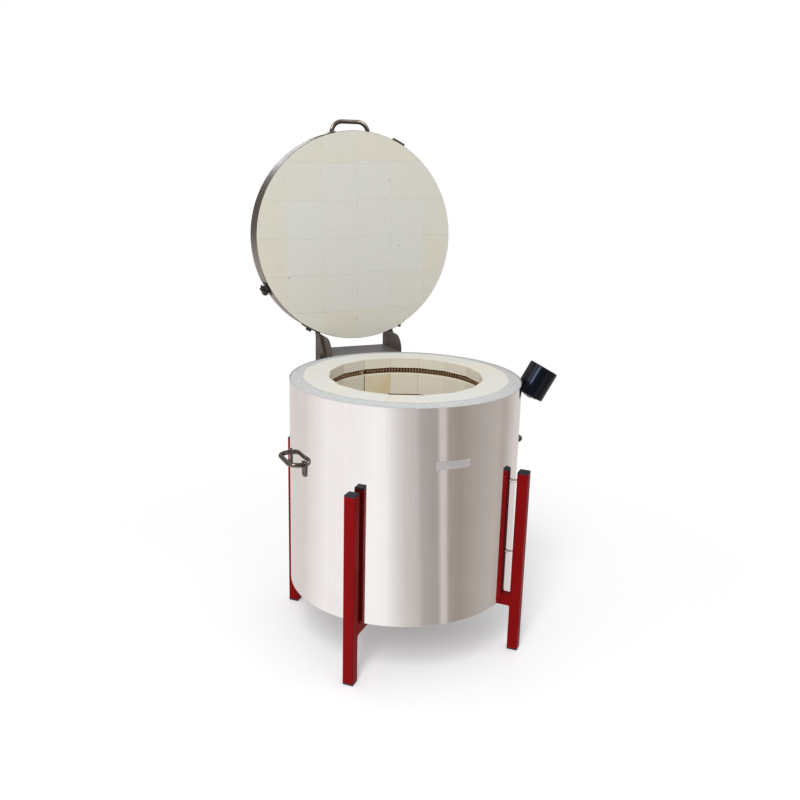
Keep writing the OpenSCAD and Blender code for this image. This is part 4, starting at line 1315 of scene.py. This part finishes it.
@dataclass
class Stand:
    """Four red tube legs on a cross of beams, with plugs, feet, studs and weld beads."""

    edge: float = 0.6
    # Weld bead: its radius and facets, its ripples, the power that squares its run, its width and height
    # as shares of the beam's, and how far it sinks into the leg
    bead: float = 2.2
    bead_steps: int = 112
    ripples: int = 34
    ripple_depth: float = 0.14
    squareness: int = 12
    bead_width: float = 0.96
    bead_height: float = 1.02
    bead_sink: float = 0.4

    def build(self) -> None:
        """Dresses the stand."""
        tubes = ("leg_front_left", "leg_front_right", "leg_rear_left", "leg_rear_right")
        beams = ("stand_beam", "stand_beam_left", "stand_beam_right")
        Coat(tubes + beams, RED_COAT, Slot.ENAMEL, edge=self.edge).apply()
        Coat(("leg_caps", "leg_feet"), BLACK_PLUG, Slot.PLASTIC, edge=0.8).apply()
        Coat(("leg_spacers", "leg_studs"), POLISHED, Slot.PLAIN, edge=0.4).apply()
        dress(self.weld_beads(tubes), RED_COAT, Body.KILN)

    def weld_beads(self, legs: Sequence[str]) -> Piece:
        """Beads round the beam ends where they meet the legs.

        Args:
            legs: Names of the legs.

        Returns:
            The beads as one piece.
        """
        low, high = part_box("stand_beam")
        half = (high.z - low.z) / 2
        clear_selection()
        bpy.ops.mesh.primitive_torus_add(
            major_segments=self.bead_steps, minor_segments=8, major_radius=half, minor_radius=mm(self.bead)
        )
        ring = bpy.context.object
        power = self.squareness
        for vertex in ring.data.vertices:
            angle = math.atan2(vertex.co.y, vertex.co.x)
            off = math.hypot(vertex.co.x, vertex.co.y) - half
            ripple = 1 + self.ripple_depth * math.sin(self.ripples * angle)
            squared = half / (math.cos(angle) ** power + math.sin(angle) ** power) ** (1 / power)
            reach = squared + off * ripple
            vertex.co.x = reach * math.cos(angle) * self.bead_width
            vertex.co.y = reach * math.sin(angle) * self.bead_height
            vertex.co.z *= ripple
        places = []
        for leg in legs:
            corner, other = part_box(leg)
            middle = (corner + other) / 2
            away = Vector((middle.x, middle.y, 0)).normalized()
            place = away * (math.hypot(middle.x, middle.y) - half + mm(self.bead_sink))
            place.z = (low.z + high.z) / 2
            places.append(facing(place, away))
        return repeated("stand_weld_beads", ring, places)


@dataclass
class Handles:
    """Bow handles on the sides of the jacket."""

    edge: float = 0.8

    def build(self) -> list[Piece]:
        """Dresses the handles and their lugs.

        Returns:
            The glossy pieces.
        """
        bows = Coat(("handle_left", "handle_right"), DIM_HANDLE_STEEL, Slot.POLISHED, edge=0.0).apply()
        small = ("handle_lugs", "handle_nuts")
        return bows + Coat(small, DIM_HANDLE_STEEL, Slot.POLISHED, edge=self.edge).apply()


@dataclass
class Hinge:
    """Bracket on the jacket that carries the lid's arms."""

    edge: float = 0.6

    def build(self) -> None:
        """Dresses the bracket, its pins and its fasteners."""
        plates = ("hinge_pads", "hinge_cheek_left", "hinge_cheek_right")
        Coat(plates, MILL_PLATE, Slot.HINGE, edge=self.edge).apply()
        Coat(("hinge_web",), ZINC, Slot.HINGE, edge=self.edge).apply()
        small = ("hinge_pins", "hinge_washers", "hinge_clips", "hinge_stops", "hinge_nuts")
        Coat(small, BLACKED, Slot.PLAIN, edge=0.3).apply()


@dataclass
class ControlHead:
    """Black round head on its bent bracket."""

    edge: float = 0.8

    def build(self) -> list[Piece]:
        """Dresses the head and its bracket.

        Returns:
            The glossy pieces of the head.
        """
        Coat(("pod_bracket", "pod_screws"), ZINC, Slot.PLAIN, edge=0.4).apply()
        return Coat(("pod_cup", "pod_cap"), BLACK_GLOSS, Slot.PLASTIC, edge=self.edge).apply()


@dataclass
class TerminalBox:
    """Louvred box over the element ends, with the gland of the mains lead."""

    edge: float = 0.4

    def build(self) -> None:
        """Dresses the box."""
        steel = ("terminal_box", "terminal_box_cover", "terminal_box_screws")
        Coat(steel, ZINC, Slot.PLAIN, edge=self.edge).apply()
        Coat(("cable_gland",), BLACK_PLUG, Slot.PLASTIC, edge=self.edge).apply()


@dataclass
class BarePlate:
    """Small bare plate on the front of the jacket."""

    span: Pair = (-9.0, 8.0)
    rise: Pair = (306.0, 327.0)
    thickness: float = 0.45
    glue: float = 0.05

    def build(self, radius: float) -> None:
        """Models the plate.

        Args:
            radius: Radius of the jacket in millimetres.
        """
        piece = shell_patch("front_plate", radius + self.glue, self.span, self.rise, self.thickness)
        dress(piece, SATIN_PLATE, Body.KILN)


@dataclass
class Lid:
    """Brick lid in its band, with cover, arms, handle and tensioner."""

    band: float = 1.0
    steps: int = 320
    # Tensioner: where it is, how deep its screw lies below the ears, and the sleeve on the screw
    clamp_azimuth: float = -119.0
    screw_depth: float = 8.0
    sleeve: float = 11.6
    sleeve_bore: float = 3.6
    sleeve_radius: float = 9.2
    sleeve_edge: float = 0.8
    sleeve_steps: int = 40
    # The sleeve's waist: its depth, and its ends as shares of the sleeve's half length
    waist_depth: float = 1.0
    waist: Pair = (0.42, 0.22)

    def build(self) -> tuple[Piece, Piece]:
        """Models the band and the tensioner's sleeve, and dresses the lid.

        Returns:
            The lid's handle and its band.
        """
        band = dress(self.band_sheet(), BANDED, Body.LID, ["lid_band"])
        dress(self.clamp_sleeve(), BLACKED, Body.LID)
        Coat(("lid_bricks",), LID_BRICK, Slot.BRICK, edge=0.2, body=Body.LID).apply()
        Coat(("lid_fibre",), BLANKET, Slot.FIBRE, edge=0.4, body=Body.LID).apply()
        Coat(("lid_cover",), BRUSHED, Slot.POLISHED, edge=0.3, body=Body.LID).apply()
        Coat(("lid_arm_left", "lid_arm_right"), MILL_PLATE, Slot.HINGE, edge=0.6, body=Body.LID).apply()
        small = ("lid_arm_bolts", "lid_clamp_lugs", "lid_clamp_screw", "lid_catch_plate")
        Coat(small, BLACKED, Slot.PLAIN, edge=0.4, body=Body.LID).apply()
        handle = Coat(("lid_handle",), BUFFED, Slot.POLISHED, edge=0.6, body=Body.LID).apply()[0]
        return handle, band

    def band_sheet(self) -> Piece:
        """Turns the lid's band with rounded edges, and opens it with the lid.

        Returns:
            The band in its open place.
        """
        corners = LID_BOND.closed("lid_band")
        radius = max(corner.x for corner in corners) * 1000
        rise = (min(corner.z for corner in corners) * 1000, max(corner.z for corner in corners) * 1000)
        piece = sheet_ring("lid_band_sheet", radius, rise, self.band, self.steps)
        piece.data.transform(LID_BOND.shut.inverted())
        return smooth(piece)

    def clamp_sleeve(self) -> Piece:
        """Turns the waisted sleeve on the tensioner's screw, between its ears.

        Returns:
            The sleeve in its open place.
        """
        end, full, edge = self.sleeve / 2, self.sleeve_radius, self.sleeve_edge
        narrow = full - self.waist_depth
        outer, inner = (end * share for share in self.waist)
        outline = [(self.sleeve_bore, -end), (self.sleeve_bore, end)]
        outline += arc((full - edge, end - edge), edge, 90, 0, 3)
        outline += [(full, outer), (narrow, inner), (narrow, -inner), (full, -outer)]
        outline += arc((full - edge, edge - end), edge, 0, -90, 3)
        piece = turned("lid_clamp_sleeve", outline, self.sleeve_steps)
        ears = LID_BOND.closed("lid_clamp_lugs")
        away = outward(math.radians(self.clamp_azimuth))
        place = away * (max(ear.dot(away) for ear in ears) - mm(self.screw_depth))
        place.z = (min(ear.z for ear in ears) + max(ear.z for ear in ears)) / 2
        along = Vector((0, 0, 1)).cross(away)
        piece.data.transform(LID_BOND.shut.inverted() @ facing(place, along))
        return smooth(piece)


@dataclass(frozen=True)
class Tone:
    """One stop of the studio walls that the bright metal mirrors."""

    azimuth: float
    colour: str


@dataclass(frozen=True)
class StripLight:
    """Snooted strip light that streaks glossy pieces and reaches nothing else, sized in metres."""

    name: str
    azimuth: float
    rise: float
    size: Pair
    radiance: float
    colour: str


HEAD_LIGHTS = (
    StripLight("head_streak", -61, 23.5, (0.42, 0.9), 11.0, "#a9bbdd"),
    StripLight("head_glow", -66, 25, (1.5, 0.95), 1.5, "#5f86d6"),
    StripLight("head_side", -91, 27, (0.3, 0.8), 4.5, "#a7a3bd"),
)
HANDLE_LIGHTS = (
    StripLight("handle_streak", -70, 42, (0.5, 1.6), 9.0, "#fff6f0"),
    StripLight("handle_side", 35, 30, (0.4, 1.6), 6.0, "#fff6f0"),
)
BAND_LIGHTS = (StripLight("band_sheen", 177, 12, (0.7, 0.6), 3.2, "#f4f6ff"),)
# Watts that an area light needs for each square metre and unit of radiance
WATTS = 4


@dataclass
class Studio:
    """White studio: soft light, pale floor, and the camera at the photograph's place."""

    # Camera: picture width and focal length in pixels, sensor, place over the floor, and angles
    image: int = 800
    focal: float = 891.8
    sensor: float = 36.0
    distance: float = 2288.0
    height: float = 1287.0
    turn: float = 23.81
    pitch: float = 15.40
    yaw: float = -0.34
    roll: float = 1.43
    # Floor: its size and the radii over which it runs out to white, in metres, and its paint
    floor: float = 40.0
    floor_fade: Pair = (0.5, 1.5)
    floor_paint: str = "#f7f7f7"
    floor_lift: float = 0.17
    # Key light: its place, size and aim in metres and its power. Strip lights: how far off they hang
    key_place: Triple = (-2.4, -3.3, 4.15)
    key_size: Pair = (1.5, 3.6)
    key_aim: Triple = (0, 0, 0.4)
    key_power: float = 171.0
    streak_reach: float = 2.6
    # World: soft light, and what metal mirrors: bright low walls, dim ones above a line, and a ceiling
    ambient: float = 0.65
    ambient_tone: str = "#fbfcff"
    dim: float = 0.36
    dim_line: Pair = (-0.2, -0.05)
    ceiling: float = 0.9
    ceiling_line: Pair = (0.28, 0.45)
    lean: float = 31.0
    walls: tuple[Tone, ...] = (
        Tone(-180, "#dcd5d2"), Tone(-137, "#dfd7d3"), Tone(-117, "#efeae7"), Tone(-106, "#faf6f4"),
        Tone(-74, "#fbf7f6"), Tone(-54, "#fffefc"), Tone(-46, "#fdfcfa"), Tone(-38, "#e8e4e1"),
        Tone(-28, "#d0cac6"), Tone(-19, "#c6bebc"), Tone(-16, "#b4aca9"), Tone(-5, "#a9a29c"),
        Tone(-2.5, "#aca4a1"), Tone(0.5, "#d2c9c7"), Tone(4, "#d1c7c5"), Tone(7.5, "#a69d95"),
        Tone(18, "#a0968d"), Tone(30, "#aaa098"), Tone(50, "#b3aba5"), Tone(75, "#bdb4ae"),
        Tone(92, "#b6aca6"), Tone(110, "#c8c0b9"), Tone(128, "#d8d0ce"), Tone(180, "#dcd5d2"),
    )

    def build(self) -> None:
        """Sets the camera, the floor and the light."""
        bpy.context.scene.view_settings.view_transform = "Standard"
        self.camera()
        self.floor_plane()
        self.world()
        self.key_light()

    def camera(self) -> None:
        """Places the camera."""
        lens = bpy.data.cameras.new("camera")
        lens.sensor_width = self.sensor
        lens.lens = self.focal * self.sensor / self.image
        lens.clip_end = 100
        eye = bpy.data.objects.new("camera", lens)
        bpy.context.scene.collection.objects.link(eye)
        place = outward(-math.radians(self.turn)) * mm(self.distance)
        place.z = CAD_BOX[0].z + mm(self.height)
        heading = Matrix.Rotation(-math.radians(self.turn + self.yaw), 4, "Z")
        tilt = Matrix.Rotation(math.pi / 2 - math.radians(self.pitch), 4, "X")
        lean = Matrix.Rotation(math.radians(self.roll), 4, "Z")
        eye.matrix_world = Matrix.Translation(place) @ heading @ tilt @ lean
        bpy.context.scene.camera = eye

    def floor_plane(self) -> None:
        """Lays the pale floor, which runs out to white and which metal doesn't mirror."""
        clear_selection()
        bpy.ops.mesh.primitive_plane_add(size=self.floor, location=(0, 0, CAD_BOX[0].z))
        floor = bpy.context.object
        floor.name = "floor"
        paint = bpy.data.materials.new("pale_floor_paint")
        paint.use_nodes = True
        tree = paint.node_tree
        shader = tree.nodes["Principled BSDF"]
        wire(shader, {"Base Color": srgb(self.floor_paint), "Roughness": 0.9, "Specular IOR Level": 0.0})
        matt = shader.outputs[0]
        place = add_node(tree, "TexCoord", (), "Object")
        reach = add_node(tree, "VectorMath", (place,), "Value", operation="LENGTH")
        fade = add_node(tree, "MapRange", (reach, *self.floor_fade), interpolation_type="SMOOTHSTEP")
        white = add_node(tree, "Emission", {"Strength": 1.0})
        lift = add_node(tree, "Emission", {"Strength": self.floor_lift})
        near = add_node(tree, "AddShader", (matt, lift))
        seen = add_node(tree, "MixShader", (fade, near, white))
        eye = add_node(tree, "LightPath", (), "Is Camera Ray")
        both = add_node(tree, "MixShader", (eye, matt, seen))
        wire(tree.nodes["Material Output"], {"Surface": both})
        floor.data.materials.append(paint)
        floor.visible_glossy = False

    def world(self) -> None:
        """Lights the studio: white to the eye, and toned walls to bright metal."""
        world = bpy.data.worlds.new("studio")
        world.use_nodes = True
        bpy.context.scene.world = world
        tree = world.node_tree
        tree.nodes.remove(tree.nodes["Background"])
        way = add_node(tree, "TexCoord", (), "Generated")
        leant = add_node(tree, "Mapping", {"Vector": way, "Rotation": (0, math.radians(self.lean), 0)})
        x, y = add_node(tree, "SeparateXYZ", (leant,)).node.outputs[:2]
        front = add_node(tree, "Math", (y, -1.0), operation="MULTIPLY")
        angle = add_node(tree, "Math", (x, front), operation="ARCTAN2")
        share = add_node(tree, "Math", (angle, 0.5 / math.pi, 0.5), operation="MULTIPLY_ADD")
        toned = add_node(tree, "ValToRGB", (share,))
        stops = toned.node.color_ramp.elements
        while len(stops) < len(self.walls):
            stops.new(0.5)
        for stop, tone in zip(stops, self.walls):
            stop.position = tone.azimuth / 360 + 0.5
            stop.color = srgb(tone.colour)
        rise = add_node(tree, "SeparateXYZ", (way,), 2)
        upper = add_node(tree, "MapRange", (rise, *self.dim_line), interpolation_type="SMOOTHSTEP")
        lower = add_node(tree, "MapRange", {"Value": upper, "To Min": 1.0, "To Max": self.dim})
        limits = (rise, *self.ceiling_line, lower, self.ceiling)
        level = add_node(tree, "MapRange", limits, interpolation_type="SMOOTHSTEP")
        mirrored = add_node(tree, "Background", (toned, level))
        white = add_node(tree, "Background", (srgb("#ffffff"), 1.0))
        soft = add_node(tree, "Background", (srgb(self.ambient_tone), self.ambient))
        rays = add_node(tree, "LightPath", ()).node.outputs
        bounced = (rays["Is Glossy Ray"], rays["Is Transmission Ray"])
        shiny = add_node(tree, "Math", bounced, operation="MAXIMUM")
        lit = add_node(tree, "MixShader", (shiny, soft, mirrored))
        seen = add_node(tree, "MixShader", (rays["Is Camera Ray"], lit, white))
        wire(tree.nodes["World Output"], {"Surface": seen})

    def key_light(self) -> None:
        """Hangs one tall soft light above the front left, which bright metal doesn't mirror."""
        key = self.lamp("key", Vector(self.key_place), self.key_size, Vector(self.key_aim))
        key.data.energy = self.key_power
        key.visible_glossy = False

    def streak(self, pieces: Sequence[Piece], strips: Sequence[StripLight]) -> None:
        """Hangs strip lights that streak some glossy pieces and reach nothing else.

        Args:
            pieces: The pieces that they reach.
            strips: The lights.
        """
        reached = bpy.data.collections.new(f"lit_by_{strips[0].name}")
        for piece in pieces:
            reached.objects.link(piece)
        corners = [Vector(corner) for piece in pieces for corner in piece.bound_box]
        middle = sum(corners, Vector()) / len(corners)
        for strip in strips:
            way = outward(math.radians(strip.azimuth)) * math.cos(math.radians(strip.rise))
            way.z = math.sin(math.radians(strip.rise))
            light = self.lamp(strip.name, middle + way * self.streak_reach, strip.size, middle)
            light.data.energy = WATTS * strip.size[0] * strip.size[1] * strip.radiance
            light.data.color = srgb(strip.colour)[:3]
            light.light_linking.receiver_collection = reached

    def lamp(self, name: str, place: Vector, size: Pair, aim: Vector) -> Piece:
        """Hangs a soft rectangular light.

        Args:
            name: Name of the light.
            place: Where it hangs, in metres.
            size: Its width and height in metres.
            aim: The point that it faces.

        Returns:
            The light.
        """
        lamp = bpy.data.lights.new(name, "AREA")
        lamp.shape = "RECTANGLE"
        lamp.size, lamp.size_y = size
        light = bpy.data.objects.new(name, lamp)
        bpy.context.scene.collection.objects.link(light)
        light.location = place
        light.rotation_euler = (aim - place).to_track_quat("-Z", "Y").to_euler()
        light.visible_camera = False
        return light


def main() -> None:
    """Builds the studio and the kiln's sub-assemblies in order."""
    logging.basicConfig(level=logging.INFO, format="%(name)s: %(message)s")
    studio = Studio()
    studio.build()
    casing = Casing()
    casing.build()
    Chamber().build()
    Stand().build()
    studio.streak(Handles().build(), HANDLE_LIGHTS)
    Hinge().build()
    studio.streak(ControlHead().build(), HEAD_LIGHTS)
    TerminalBox().build()
    BarePlate().build(casing.radius)
    lid_handle, lid_band = Lid().build()
    studio.streak([lid_handle], HANDLE_LIGHTS)
    studio.streak([lid_band], BAND_LIGHTS)


if __name__ == "__main__":
    main()
